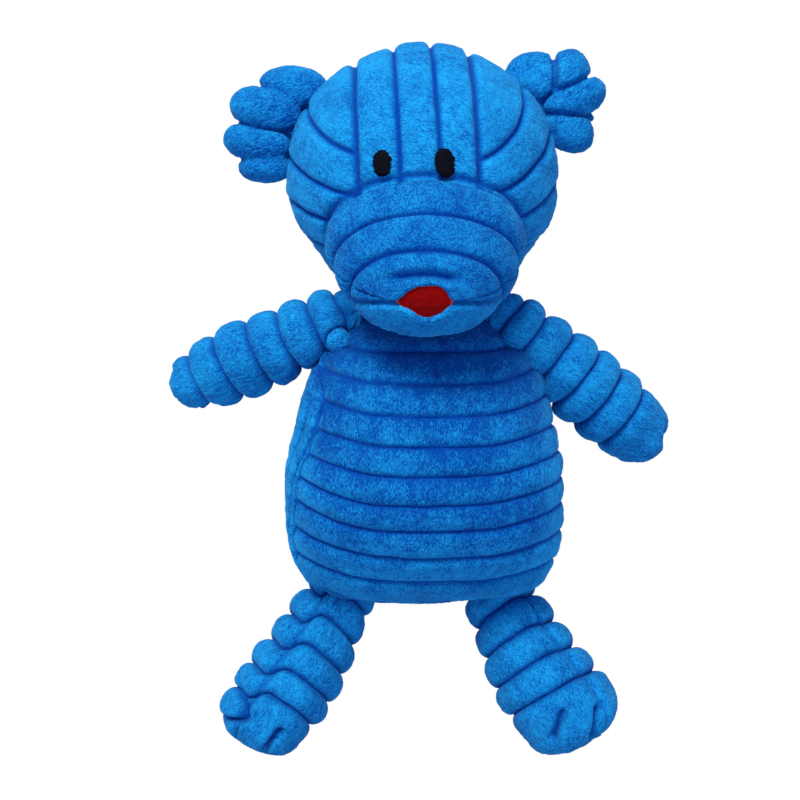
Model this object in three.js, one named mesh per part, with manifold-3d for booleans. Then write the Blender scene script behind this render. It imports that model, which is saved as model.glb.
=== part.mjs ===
// A squeaky plush dog toy: a floppy animal of wide-wale corduroy that lies on its back.
// Millimetres. X runs across the toy, Y from its feet to its head, Z from its back to its face.

import * as THREE from 'three';
import { mergeVertices } from 'three/addons/utils/BufferGeometryUtils.js';
import Module from 'manifold-3d';

const wasm = await Module();
wasm.setup();

// Cloth, seams and clearances
const cloth = 4.2;
const waleDepth = 2.4;
const seamGap = 0.3;
const flatCut = 0.5;
const overrun = 200;

// A wale is a flat-topped rib with a narrow groove beside it
const waleStepShares = [0, 0.28, 0.72];
const waleLiftShares = [0, 1, 1];

// Where a rounded end has its rings, and how near a pole the last wale comes
const capShares = [0.5, 0.86];
const poleShare = 0.985;

// Torso: a pear that is widest at the belly
const body = {
  x: 1.5, bottomY: -67, length: 110.5, halfWidth: 53.5, halfDepth: 41.75,
  pitch: 10.9, groove: 1, sides: 24, plainSides: 12, squareness: 2.25, seamZ: 38.5, settled: 0.4,
  steps: 300, barrelFromShare: 0.04, barrelToShare: 0.93, plainRings: 6,
};
const bodyTopY = body.bottomY + body.length;
// Shares of half width, half depth, length and height of the middle, from the crotch to the neck
const bodyShares = [
  [0, 0, 0, 0.72], [0.3, 0.24, 0.004, 0.725], [0.62, 0.45, 0.018, 0.73],
  [0.84, 0.66, 0.045, 0.75], [0.91, 0.77, 0.09, 0.8], [0.975, 0.855, 0.16, 0.862],
  [1, 0.935, 0.25, 0.922], [1, 0.995, 0.4, 0.982], [0.985, 1, 0.5, 0.988],
  [0.945, 0.99, 0.58, 0.977], [0.895, 0.965, 0.69, 0.953], [0.835, 0.9, 0.81, 0.905],
  [0.69, 0.79, 0.9, 0.875], [0.45, 0.53, 0.96, 0.875], [0.22, 0.27, 0.99, 0.88],
  [0, 0, 1, 0.89],
];

const bodyEndShares = { crotch: [0.004, 0.018], neck: [0.96, 0.99] };

// Neck: a ball of stuffing that the head turns on
const neck = { aboveBody: 6.5, frontShare: 0.91, radius: 19, sides: 18, nods: [-10, 0, 5, 10] };
const nape = { x: 0, y: bodyTopY + neck.aboveBody, z: body.halfDepth * neck.frontShare };

// Head: a ball a little wider than it is deep, sunk over the neck
const head = { sunk: 5.5, halfWidth: 50.5, halfLength: 48.5, halfDepth: 45, seamZ: 42, plainSides: 18 };
const gusset = { left: -23.5, right: 18.5, pitch: 14, sides: 30 };
const leftCheek = { acrossDegrees: 52, pitch: 11.5, groove: 0.8, sides: 26 };
const rightCheek = { acrossDegrees: 141, pitch: 12.3, groove: 1.5, sides: 26 };
const headBack = { sides: 28 };

// Muzzle: a blunt dome low on the face that leans toward the chest and narrows toward its end
const muzzle = {
  x: 0.5, drop: 30, lift: 37, lean: 44, halfWidth: 32.8, halfLength: 23.6, reach: 27.7,
  fullness: 2.6, narrowShare: 0.23, pitch: 13, groove: 1.8, sides: 28, plainSides: 18, plainRings: 13,
};
// The mouth lies across the seam between muzzle and chin
const mouth = {
  x: -0.8, drop: 0.7, seamDrop: 14, lean: 29, halfWidth: 9, halfHeight: 6.2, cornerShare: 0.5,
  proud: 0.5, thick: 1.8, sides: 14,
};

// Embroidered eyes
const leftEye = { x: -14.2, up: 1.9, halfWidth: 3, halfHeight: 4.4 };
const rightEye = { x: 6.6, up: 1.9, halfWidth: 3.2, halfHeight: 4.8 };
const eye = { proud: 0.6, pocket: 0.7, sides: 16, skinSides: 36 };

// Ears: a flat cushion with fat wales side by side on it, sewn to the head on a ball-shaped root.
// Places are from the root, and the first form is the cushion.
const leftEar = {
  around: 155, radius: 20,
  forms: [
    { xShare: -0.27, yShare: -0.055, zShare: 0, long: 0.92, wide: 0.72, thick: 0.36, degrees: 64 },
    { xShare: -0.06, yShare: 0.6, zShare: 0, long: 0.64, wide: 0.43, thick: 0.4, degrees: -10 },
    { xShare: -0.54, yShare: 0.18, zShare: 0.08, long: 0.64, wide: 0.46, thick: 0.46, degrees: -15 },
    { xShare: -0.71, yShare: -0.39, zShare: 0, long: 0.62, wide: 0.4, thick: 0.42, degrees: -5 },
    { xShare: -0.56, yShare: -0.76, zShare: -0.08, long: 0.5, wide: 0.35, thick: 0.34, degrees: 0 },
  ],
};
const rightEar = {
  around: 29, radius: 20,
  forms: [
    { xShare: 0.225, yShare: 0.19, zShare: 0, long: 0.9, wide: 0.62, thick: 0.34, degrees: -61 },
    { xShare: -0.13, yShare: 0.6, zShare: -0.04, long: 0.53, wide: 0.42, thick: 0.38, degrees: 105 },
    { xShare: 0.38, yShare: 0.66, zShare: 0, long: 0.53, wide: 0.42, thick: 0.4, degrees: 60 },
    { xShare: 0.6, yShare: 0.28, zShare: 0.06, long: 0.53, wide: 0.4, thick: 0.42, degrees: 25 },
    { xShare: 0.48, yShare: -0.36, zShare: 0, long: 0.55, wide: 0.42, thick: 0.4, degrees: -60 },
  ],
};
const ear = { standOff: 1.5, rootRadius: 7.5, room: 1.2, sides: 12, socketSides: 20, roomSides: 28 };
const earFlops = [-12, -6, 0, 6, 12];

// Limbs: stuffed tubes of wales on ball-shaped roots. A root's place is in shares of the body's sizes.
const leftArm = {
  outShare: -0.6636, upShare: 0.9638, frontShare: 1.078, reach: { x: -57, y: -25, z: -30 },
  radius: 16, pitch: 13, radiusShares: [0.97, 1, 1, 1, 0.96, 0.84, 0.68],
};
const rightArm = {
  outShare: 0.6355, upShare: 0.9502, frontShare: 1.078, reach: { x: 51.5, y: -42.5, z: -28 },
  radius: 15.5, pitch: 13, radiusShares: [0.97, 0.97, 0.98, 1, 1, 0.97, 0.84],
};
const leftLeg = {
  outShare: -0.6822, upShare: -0.0633, frontShare: 0.551, reach: { x: -27.5, y: -47.5, z: 11 },
  radius: 20, pitch: 12, radiusShares: [0.82, 0.87, 0.93, 0.99, 1.02, 1, 0.93],
};
const rightLeg = {
  outShare: 0.6168, upShare: -0.0633, frontShare: 0.551, reach: { x: 25.5, y: -45, z: 11 },
  radius: 20, pitch: 12, radiusShares: [0.82, 0.85, 0.9, 0.96, 1, 1.01, 0.95],
};
const limb = {
  sides: 14, plainSides: 10, plainRings: 3, endShare: 0.25, sweepSides: 8, socketSides: 20, sweepGap: 2.2,
  sweepLength: 50,
};
const armHugs = [-12, 12, 36, 60];
const hipFolds = [-5, 22, 50];

// Squeaker: a blow-moulded bulb with a reed plug in its neck
const squeaker = {
  upShare: 0.48, radius: 23, halfHeight: 13, wall: 1.2, corner: 7, collarRadius: 6.8, collarHeight: 3,
  holeRadius: 5.2, sides: 24,
};
const bendShares = [0, 0.5, 1];
const plug = { flangeRadius: 6.8, flangeThick: 1.4, length: 12, boreRadius: 3, sides: 18 };
const reed = { width: 3.6, thick: 0.4, length: 9, clampLength: 5 };

const across = new THREE.Vector3(1, 0, 0);
const lengthwise = new THREE.Vector3(0, 1, 0);
const upward = new THREE.Vector3(0, 0, 1);

// Small tools for solids

function point(place) {
  return new THREE.Vector3(place.x, place.y, place.z);
}

function solidOf(geometry) {
  const bare = geometry.clone();
  bare.deleteAttribute('normal');
  bare.deleteAttribute('uv');
  const merged = mergeVertices(bare);
  const mesh = new wasm.Mesh({
    numProp: 3,
    vertProperties: new Float32Array(merged.attributes.position.array),
    triVerts: new Uint32Array(merged.index.array),
  });
  return new wasm.Manifold(mesh);
}

function geometryOf(solid) {
  const mesh = solid.getMesh();
  const geometry = new THREE.BufferGeometry();
  geometry.setAttribute('position', new THREE.BufferAttribute(new Float32Array(mesh.vertProperties), 3));
  geometry.setIndex(new THREE.BufferAttribute(new Uint32Array(mesh.triVerts), 1));
  geometry.computeVertexNormals();
  return geometry;
}

// Closed skin over rings of equally many points, with one point at each end
function skin(first, rings, last) {
  const sides = rings[0].length;
  const points = [first, ...rings.flat(), last];
  const end = points.length - 1;
  const faces = [];
  for (let side = 0; side < sides; side++) {
    const next = (side + 1) % sides;
    faces.push(0, 1 + next, 1 + side);
    for (let ring = 0; ring < rings.length - 1; ring++) {
      const low = 1 + ring * sides;
      const high = low + sides;
      faces.push(low + side, low + next, high + next, low + side, high + next, high + side);
    }
    const top = 1 + (rings.length - 1) * sides;
    faces.push(end, top + side, top + next);
  }
  const geometry = new THREE.BufferGeometry();
  geometry.setAttribute('position', new THREE.Float32BufferAttribute(points.flatMap((p) => p.toArray()), 3));
  geometry.setIndex(signedVolume(points, faces) < 0 ? faces.reverse() : faces);
  return solidOf(geometry);
}

function signedVolume(points, faces) {
  let volume = 0;
  for (let i = 0; i < faces.length; i += 3) {
    const [a, b, c] = [points[faces[i]], points[faces[i + 1]], points[faces[i + 2]]];
    volume += a.dot(new THREE.Vector3().crossVectors(b, c));
  }
  return volume;
}

function box(min, max) {
  const size = new THREE.Vector3().subVectors(max, min);
  const geometry = new THREE.BoxGeometry(size.x, size.y, size.z);
  const middle = new THREE.Vector3().addVectors(min, max).multiplyScalar(0.5);
  return solidOf(geometry.translate(middle.x, middle.y, middle.z));
}

// What would reach below the table is pressed flat on it
function pressed(place) {
  place.z = Math.max(place.z, 0);
  return place;
}

// Everything on one side of a plane square to an axis: 'x', 'y' or 'z'
function halfSpace(axis, from, to) {
  const min = new THREE.Vector3(-overrun, -overrun, -overrun);
  const max = new THREE.Vector3(overrun, overrun, overrun);
  min[axis] = from;
  max[axis] = to;
  return box(min, max);
}

const half = seamGap / 2;
const frontOf = (solid, height) => solid.intersect(halfSpace('z', height + half, overrun));
const behind = (solid, height) => solid.intersect(halfSpace('z', -overrun, height - half));

function ball(centre, radius, sides) {
  const geometry = new THREE.SphereGeometry(radius, sides, sides / 2);
  return solidOf(geometry.translate(centre.x, centre.y, centre.z));
}

function revolve(profile, sides) {
  const outline = profile.map(([radius, height]) => new THREE.Vector2(radius, height));
  return new THREE.LatheGeometry(outline, sides).rotateX(Math.PI / 2);
}

function turned(solid, pivot, axis, degrees) {
  const turn = new THREE.Matrix4().makeRotationAxis(axis, THREE.MathUtils.degToRad(degrees));
  const there = new THREE.Matrix4().makeTranslation(pivot.x, pivot.y, pivot.z);
  const back = new THREE.Matrix4().makeTranslation(-pivot.x, -pivot.y, -pivot.z);
  return solid.transform(there.multiply(turn).multiply(back).elements);
}

// The room that a limb sweeps through, as copies of it at a few angles
function swept(solid, pivot, axis, angles) {
  return angles.map((degrees) => turned(solid, pivot, axis, degrees)).reduce((all, one) => all.add(one));
}

// Stations of the wales between two limits: where each ring lies and how high it is lifted
function waleStations(from, to, pitch, groove) {
  const stations = [];
  const first = Math.floor((from - groove) / pitch);
  for (let wale = first; groove + wale * pitch < to; wale++) {
    waleStepShares.forEach((share, i) => {
      const at = groove + (wale + share) * pitch;
      if (at > from && at < to) stations.push({ at, lift: waleLiftShares[i] });
    });
  }
  return stations;
}

function plainStations(from, to, count) {
  return Array.from({ length: count }, (_, i) => ({ at: from + ((to - from) * i) / (count - 1), lift: 1 }));
}

// An ellipsoid whose wales are slices square to a direction
function waledEllipsoid({ centre, semi, along, pitch, groove, sides, settle = (place) => place }) {
  const stretched = along.clone().multiply(semi);
  const reach = stretched.length();
  const pole = stretched.clone().normalize();
  const helper = Math.abs(pole.z) > Math.SQRT1_2 ? across : upward;
  const side = new THREE.Vector3().crossVectors(helper, pole).normalize();
  const front = new THREE.Vector3().crossVectors(pole, side);
  const onSkin = (unit, sink) => {
    const normal = unit.clone().divide(semi).normalize();
    return settle(unit.clone().multiply(semi).addScaledVector(normal, -sink).add(centre));
  };
  const edge = reach * poleShare;
  const rings = waleStations(-edge, edge, pitch, groove).map(({ at, lift }) => {
    const height = at / reach;
    const radius = Math.sqrt(1 - height * height);
    return Array.from({ length: sides }, (_, i) => {
      const angle = (2 * Math.PI * (i + 0.5)) / sides;
      const unit = pole.clone().multiplyScalar(height);
      unit.addScaledVector(side, radius * Math.cos(angle)).addScaledVector(front, radius * Math.sin(angle));
      return onSkin(unit, waleDepth * (1 - lift));
    });
  });
  return skin(onSkin(pole.clone().negate(), 0), rings, onSkin(pole, 0));
}

function plainEllipsoid(centre, semi, sides) {
  const geometry = new THREE.SphereGeometry(1, sides, sides / 2);
  geometry.scale(semi.x, semi.y, semi.z);
  return solidOf(geometry.translate(centre.x, centre.y, centre.z));
}

// A flat oval prism along a direction, for eyes and mouth
function ovalPrism(centre, along, halfWidth, halfHeight, reach, sides, pointed = 0) {
  const outline = new THREE.Shape();
  for (let i = 0; i < sides; i++) {
    const angle = (2 * Math.PI * i) / sides;
    const narrow = 1 - pointed * Math.abs(Math.cos(angle)) ** 2;
    outline[i ? 'lineTo' : 'moveTo'](halfWidth * Math.cos(angle), halfHeight * Math.sin(angle) * narrow);
  }
  const geometry = new THREE.ExtrudeGeometry(outline, { depth: reach, bevelEnabled: false });
  const up = new THREE.Vector3(1, 0, 0).cross(along).negate().normalize();
  const turn = new THREE.Matrix4().makeBasis(new THREE.Vector3(1, 0, 0), up, along);
  return solidOf(geometry.applyMatrix4(turn).translate(centre.x, centre.y, centre.z));
}

// Torso

// The torso's size from the crotch up: half width, half depth, place along it and height of its middle
function torsoRows(inset) {
  const sizes = new THREE.CatmullRomCurve3(bodyShares.map(([w, h, y]) => new THREE.Vector3(
    w * (body.halfWidth - inset), h * (body.halfDepth - inset), inset + y * (body.length - 2 * inset))));
  const middles = new THREE.CatmullRomCurve3(bodyShares.map(([, , y, z]) => new THREE.Vector3(
    z * body.halfDepth, y * body.length, 0)));
  const heights = middles.getPoints(body.steps);
  return sizes.getPoints(body.steps).map((size, i) => ({
    width: size.x, depth: size.y, at: size.z, middle: heights[i].x,
  }));
}

function torsoRow(rows, at) {
  const next = Math.max(1, rows.findIndex((row) => row.at >= at));
  const [low, high] = [rows[next - 1], rows[next]];
  const share = (at - low.at) / (high.at - low.at);
  const mix = (key) => THREE.MathUtils.lerp(low[key], high[key], share);
  return { width: mix('width'), depth: mix('depth'), at, middle: mix('middle') };
}

function torso(inset, waled, sides) {
  const rows = torsoRows(inset);
  const place = (share) => inset + share * (body.length - 2 * inset);
  const barrel = waled
    ? waleStations(place(body.barrelFromShare), place(body.barrelToShare), body.pitch, body.groove)
    : plainStations(place(body.barrelFromShare), place(body.barrelToShare), body.plainRings);
  const ends = (shares) => shares.map((share) => ({ at: place(share), lift: 1 }));
  const ringAt = ({ at, lift }) => {
    const row = torsoRow(rows, at);
    const sink = waled ? waleDepth * (1 - lift) : 0;
    const square = (value) => Math.sign(value) * Math.abs(value) ** (2 / body.squareness);
    return Array.from({ length: sides }, (_, i) => {
      const angle = (2 * Math.PI * (i + 0.5)) / sides;
      return pressed(new THREE.Vector3(
        body.x + (row.width - sink) * square(Math.cos(angle)),
        body.bottomY + at,
        row.middle + (row.depth - sink) * square(Math.sin(angle)) - body.settled));
    });
  };
  const stations = [...ends(bodyEndShares.crotch), ...barrel, ...ends(bodyEndShares.neck)];
  const pole = (row) => new THREE.Vector3(body.x, body.bottomY + row.at, row.middle - body.settled);
  return skin(pole(rows[0]), stations.map(ringAt), pole(rows[rows.length - 1]));
}

// Limbs

// Where a limb is sewn on
function rootOf(spec) {
  return new THREE.Vector3(
    body.x + spec.outShare * body.halfWidth,
    body.bottomY + spec.upShare * body.length,
    spec.frontShare * body.halfDepth);
}

function limbAxis(spec) {
  const root = rootOf(spec);
  return new THREE.LineCurve3(root, point(spec.reach).add(root));
}

function limbRadius(spec, share) {
  const curve = new THREE.SplineCurve(spec.radiusShares.map((r, i) => (
    new THREE.Vector2(i / (spec.radiusShares.length - 1), r))));
  return spec.radius * curve.getPoint(share).y;
}

// A tube on the limb's axis; grow widens it, and its root is a ball, or flat at the root's centre
function tube(spec, { grow = 0, waled = false, sides = limb.plainSides, rootReach = 0, ballRoot = true }) {
  const axis = limbAxis(spec);
  const length = axis.getLength();
  const along = axis.getTangent(0);
  const side = new THREE.Vector3().crossVectors(along, new THREE.Vector3(0, 0, 1)).normalize();
  const front = new THREE.Vector3().crossVectors(side, along);
  const start = rootOf(spec);
  const ring = (at, radius) => Array.from({ length: sides }, (_, i) => {
    const angle = (2 * Math.PI * i) / sides;
    return start.clone().addScaledVector(along, at)
      .addScaledVector(side, radius * Math.cos(angle)).addScaledVector(front, radius * Math.sin(angle));
  });
  const cap = (at, radius, way) => capShares.map((share) => (
    ring(at + way * radius * share, radius * Math.sqrt(1 - share * share))));
  const rootRadius = limbRadius(spec, 0) + grow;
  const tipRadius = limbRadius(spec, 1) + grow;
  const stations = waled
    ? waleStations(spec.pitch * limb.endShare, length, spec.pitch, spec.pitch / 2)
    : plainStations(length * limb.endShare, length * (1 - limb.endShare), limb.plainRings);
  const rings = [
    ...(ballRoot ? cap(-rootReach, rootRadius, -1).reverse() : []),
    ring(-rootReach, rootRadius),
    ...stations.map(({ at, lift }) => {
      const sink = waleDepth * (1 - lift);
      return ring(at, limbRadius(spec, at / length) + grow - sink);
    }),
    ring(length, tipRadius),
    ...cap(length, tipRadius, 1),
  ];
  const end = (at) => start.clone().addScaledVector(along, at);
  return skin(end(-rootReach - (ballRoot ? rootRadius : 0)), rings, end(length + tipRadius));
}

// The cloth of a limb is a cup that is open at its root, and its stuffing fills the cup
function limbPieces(spec) {
  const hollow = tube(spec, { grow: -cloth, rootReach: spec.radius });
  const cover = tube(spec, { waled: true, sides: limb.sides }).subtract(hollow);
  const stuffing = tube(spec, { grow: -cloth - seamGap });
  return { cover, stuffing };
}

// Head

const headY = nape.y + head.halfLength - head.sunk;
const headCentre = new THREE.Vector3(nape.x, headY, head.halfDepth - 2 * flatCut);
const headSemi = new THREE.Vector3(head.halfWidth, head.halfLength, head.halfDepth);
const inset = (semi, amount) => semi.clone().subScalar(amount);
const leanedWay = (degrees) => upward.clone().applyAxisAngle(across, THREE.MathUtils.degToRad(degrees));
const leanedUp = (degrees) => lengthwise.clone().applyAxisAngle(across, THREE.MathUtils.degToRad(degrees));
const muzzleWay = leanedWay(muzzle.lean);
const muzzleUp = leanedUp(muzzle.lean);
const muzzleCentre = headCentre.clone().add(new THREE.Vector3(muzzle.x, -muzzle.drop, muzzle.lift));

// How large the muzzle's ring is at a place along its reach, as a share of its half width and length
function muzzleShare(place) {
  const round = (1 - Math.abs(place) ** muzzle.fullness) ** (1 / muzzle.fullness);
  return round * (1 - muzzle.narrowShare * place);
}

// The muzzle's rings lie square to its reach
function muzzleForm(grow, waled) {
  const reach = muzzle.reach + grow;
  const edge = reach * poleShare;
  const sides = grow < 0 ? muzzle.plainSides : muzzle.sides;
  const stations = waled
    ? [...waleStations(-edge, edge, muzzle.pitch, muzzle.groove), { at: edge, lift: 1 }]
    : Array.from({ length: muzzle.plainRings }, (_, i) => (
      { at: -edge * Math.cos((Math.PI * i) / (muzzle.plainRings - 1)), lift: 1 }));
  const rings = stations.map(({ at, lift }) => {
    const size = muzzleShare(at / reach);
    const sink = waleDepth * (1 - lift);
    return Array.from({ length: sides }, (_, i) => {
      const angle = (2 * Math.PI * (i + 0.5)) / sides;
      return muzzleCentre.clone()
        .addScaledVector(across, ((muzzle.halfWidth + grow) * size - sink) * Math.cos(angle))
        .addScaledVector(muzzleUp, ((muzzle.halfLength + grow) * size - sink) * Math.sin(angle))
        .addScaledVector(muzzleWay, at);
    });
  });
  const end = (at) => muzzleCentre.clone().addScaledVector(muzzleWay, at);
  return skin(end(-reach), rings, end(reach));
}

function waleDirection(degrees) {
  const angle = THREE.MathUtils.degToRad(degrees);
  return new THREE.Vector3(Math.cos(angle), Math.sin(angle), 0);
}

function eyePrism(spec, grow, from) {
  const foot = new THREE.Vector3(headCentre.x + spec.x, headCentre.y + spec.up, from);
  return ovalPrism(foot, upward, spec.halfWidth + grow, spec.halfHeight + grow, head.halfDepth, eye.sides);
}

// An eye is a raised patch of satin stitches in a shallow pocket of the cloth
function eyePatch(spec) {
  const lower = inset(headSemi, eye.pocket);
  const upper = inset(headSemi, -eye.proud);
  return eyePrism(spec, 0, headCentre.z)
    .intersect(plainEllipsoid(headCentre, upper, eye.skinSides))
    .subtract(plainEllipsoid(headCentre, lower, eye.skinSides));
}

function eyePocket(spec) {
  return eyePrism(spec, seamGap, headCentre.z)
    .subtract(plainEllipsoid(headCentre, inset(headSemi, eye.pocket + seamGap), eye.skinSides));
}

// An ear's root lies beside the head's seam, and the ear flops along the head's edge there
function earFrame(spec) {
  const angle = THREE.MathUtils.degToRad(spec.around);
  const out = waleDirection(spec.around);
  const root = new THREE.Vector3(headSemi.x * Math.cos(angle), headSemi.y * Math.sin(angle), 0)
    .add(headCentre).addScaledVector(out, ear.standOff);
  const hinge = new THREE.Vector3(headSemi.x * Math.sin(angle), -headSemi.y * Math.cos(angle), 0).normalize();
  return { root, hinge };
}

function earForm(spec, root, form) {
  const size = new THREE.Vector3(form.long, form.wide, form.thick).multiplyScalar(spec.radius);
  const offset = new THREE.Vector3(form.xShare, form.yShare, form.zShare).multiplyScalar(spec.radius);
  const place = offset.add(root);
  return turned(plainEllipsoid(place, size, ear.sides), place, upward, form.degrees);
}

function earPieces(spec) {
  const { root, hinge } = earFrame(spec);
  const headRoomForEar = plainEllipsoid(headCentre, inset(headSemi, -ear.room), ear.roomSides);
  const whole = spec.forms.map((form) => earForm(spec, root, form)).reduce((all, one) => all.add(one))
    .subtract(swept(headRoomForEar, root, hinge, earFlops));
  const socket = ball(root, ear.rootRadius + 2 * seamGap, ear.socketSides);
  return {
    front: frontOf(whole, root.z).subtract(socket),
    back: behind(whole, root.z).add(ball(root, ear.rootRadius, ear.sides)),
    root,
    socket,
  };
}

// Squeaker

// A rounded disc with a collar on top: a profile of radius and height from the bottom of the axis up
function bulbOutline(grow) {
  const radius = squeaker.radius + grow;
  const half = squeaker.halfHeight + grow;
  const corner = squeaker.corner + grow;
  const bend = (way) => bendShares.map((share) => {
    const angle = (Math.PI / 2) * (way > 0 ? share : 1 - share);
    return [radius - corner + corner * Math.cos(angle), way * (half - corner + corner * Math.sin(angle))];
  });
  return [[0, -half], ...bend(-1), ...bend(1)];
}

function bulb() {
  const outer = bulbOutline(0);
  const inner = bulbOutline(-squeaker.wall).reverse();
  const top = squeaker.halfHeight + squeaker.collarHeight;
  const collar = [
    [squeaker.collarRadius, squeaker.halfHeight], [squeaker.collarRadius, top],
    [squeaker.holeRadius, top], [squeaker.holeRadius, squeaker.halfHeight - squeaker.wall],
  ];
  return solidOf(revolve([...outer, ...collar, ...inner], squeaker.sides));
}

function squeakerRoom() {
  const top = squeaker.halfHeight + squeaker.collarHeight + plug.flangeThick + 2 * seamGap;
  const radius = Math.max(squeaker.collarRadius, plug.flangeRadius) + seamGap;
  const half = squeaker.halfHeight + seamGap;
  return solidOf(revolve([...bulbOutline(seamGap), [radius, half], [radius, top], [0, top]], squeaker.sides));
}

function reedHousing() {
  const seat = squeaker.halfHeight + squeaker.collarHeight + seamGap;
  const top = seat + plug.flangeThick;
  const radius = squeaker.holeRadius - seamGap;
  const profile = [
    [plug.boreRadius, seat - plug.length], [radius, seat - plug.length], [radius, seat],
    [plug.flangeRadius, seat], [plug.flangeRadius, top], [plug.boreRadius, top],
    [plug.boreRadius, seat - plug.length],
  ];
  return solidOf(revolve(profile, plug.sides));
}

function reedClamp() {
  const radius = plug.boreRadius - seamGap;
  const outline = new THREE.Shape();
  outline.absarc(0, -seamGap - reed.thick / 2, radius - seamGap - reed.thick / 2, Math.PI, 2 * Math.PI);
  const geometry = new THREE.ExtrudeGeometry(outline, {
    depth: reed.clampLength, bevelEnabled: false, curveSegments: plug.sides / 2,
  });
  return solidOf(geometry.translate(0, 0, squeaker.halfHeight - reed.clampLength));
}

function reedStrip() {
  const geometry = new THREE.BoxGeometry(reed.width, reed.thick, reed.length);
  return solidOf(geometry.translate(0, 0, squeaker.halfHeight - reed.length / 2));
}

// Assembly

const toy = new THREE.Group();

function matte(colour, roughness) {
  return new THREE.MeshStandardMaterial({ color: colour, roughness, metalness: 0 });
}

const looks = {
  corduroy: matte(0x1f7fe0, 0.95),
  stuffing: matte(0xf2f1ec, 1),
  thread: matte(0x0b0c18, 0.6),
  felt: matte(0xb0101c, 0.95),
  bulb: matte(0xe9ecef, 0.45),
  reed: matte(0xf4f4f0, 0.35),
};

// A group that turns or slides about its own place
function bodyAt(place) {
  const group = new THREE.Group();
  group.position.set(place.x, place.y, place.z);
  toy.add(group);
  return group;
}

function addPiece(group, name, solid, look) {
  const geometry = geometryOf(solid);
  geometry.translate(-group.position.x, -group.position.y, -group.position.z);
  const mesh = new THREE.Mesh(geometry, looks[look]);
  mesh.name = name;
  group.add(mesh);
}

const arms = [leftArm, rightArm];
const legs = [leftLeg, rightLeg];
const hugAxes = [lengthwise, lengthwise.clone().negate()];
const foldAxis = across.clone().negate();
const wayOut = (spec) => tube(spec, { grow: limb.sweepGap, sides: limb.sweepSides, ballRoot: false })
  .intersect(ball(rootOf(spec), limb.sweepLength, limb.sweepSides));
const socket = (spec) => ball(rootOf(spec), limbRadius(spec, 0) + 2 * seamGap, limb.socketSides);
const limbRoom = [
  ...[...arms, ...legs].map(socket),
  ...arms.map((arm, i) => swept(wayOut(arm), rootOf(arm), hugAxes[i], armHugs)),
  ...legs.map((leg) => swept(wayOut(leg), rootOf(leg), foldAxis, hipFolds)),
].reduce((all, one) => all.add(one));

const neckRoom = ball(nape, neck.radius + 2 * seamGap, neck.sides);
const bodyRoom = limbRoom.add(neckRoom);
const squeakerY = body.bottomY + body.length * squeaker.upShare;
const squeakerPlace = [body.x, squeakerY, body.seamZ];
const bodyCloth = torso(0, true, body.sides).subtract(torso(cloth, false, body.plainSides))
  .subtract(bodyRoom);
const bodyFill = torso(cloth + seamGap, false, body.plainSides).subtract(bodyRoom)
  .subtract(squeakerRoom().translate(squeakerPlace));

const trunk = bodyAt({ x: body.x, y: 0, z: 0 });
addPiece(trunk, 'body_front_panel', frontOf(bodyCloth, body.seamZ), 'corduroy');
addPiece(trunk, 'body_back_panel', behind(bodyCloth, body.seamZ), 'corduroy');
addPiece(trunk, 'belly_stuffing_front', frontOf(bodyFill, body.seamZ), 'stuffing');
addPiece(trunk, 'belly_stuffing_back', behind(bodyFill, body.seamZ), 'stuffing');
addPiece(trunk, 'neck_stuffing', ball(nape, neck.radius, neck.sides), 'stuffing');
addPiece(trunk, 'squeaker_bulb', bulb().translate(squeakerPlace), 'bulb');

const squeak = bodyAt({ x: body.x, y: squeakerY, z: body.seamZ });
addPiece(squeak, 'reed_housing', reedHousing().translate(squeakerPlace), 'bulb');
addPiece(squeak, 'reed_clamp', reedClamp().translate(squeakerPlace), 'bulb');
addPiece(squeak, 'reed_strip', reedStrip().translate(squeakerPlace), 'reed');

const ears = [earPieces(leftEar), earPieces(rightEar)];
const backNods = neck.nods.map((nod) => -nod);
const armRoots = arms.map((arm) => (
  swept(ball(rootOf(arm), arm.radius + limb.sweepGap, limb.sides), nape, across, backNods)));
const headRoom = [neckRoom, ...armRoots, ...ears.map((one) => one.socket)].reduce((all, one) => all.add(one));
const muzzleRoom = muzzleForm(2 * seamGap, false);
const eyePockets = eyePocket(leftEye).add(eyePocket(rightEye));

function headCloth(along, spec) {
  const outer = waledEllipsoid({
    centre: headCentre, semi: headSemi, along, settle: pressed,
    pitch: spec.pitch, groove: spec.groove, sides: spec.sides,
  });
  return outer.subtract(plainEllipsoid(headCentre, inset(headSemi, cloth), head.plainSides))
    .subtract(headRoom).subtract(muzzleRoom).subtract(eyePockets);
}

const ribs = { groove: gusset.right, pitch: gusset.pitch, sides: gusset.sides };
const [gussetLeft, gussetRight] = [headCentre.x + gusset.left, headCentre.x + gusset.right];
const middleBand = halfSpace('x', gussetLeft + half, gussetRight - half)
  .intersect(halfSpace('y', muzzleCentre.y, overrun));
const leftBand = halfSpace('x', -overrun, gussetLeft - half);
const rightBand = halfSpace('x', gussetRight + half, overrun);
const headFill = plainEllipsoid(headCentre, inset(headSemi, cloth + seamGap), head.plainSides)
  .subtract(headRoom);

const forehead = frontOf(headCloth(across, ribs), head.seamZ).intersect(middleBand);
const cheek = (spec, band) => (
  frontOf(headCloth(waleDirection(spec.acrossDegrees), spec), head.seamZ).intersect(band));
const headBackCloth = behind(headCloth(across, { ...ribs, sides: headBack.sides }), head.seamZ);
const skull = bodyAt(nape);
addPiece(skull, 'forehead_gusset', forehead, 'corduroy');
addPiece(skull, 'left_cheek_panel', cheek(leftCheek, leftBand), 'corduroy');
addPiece(skull, 'right_cheek_panel', cheek(rightCheek, rightBand), 'corduroy');
addPiece(skull, 'head_back_panel', headBackCloth, 'corduroy');
addPiece(skull, 'head_stuffing', headFill, 'stuffing');

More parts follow.
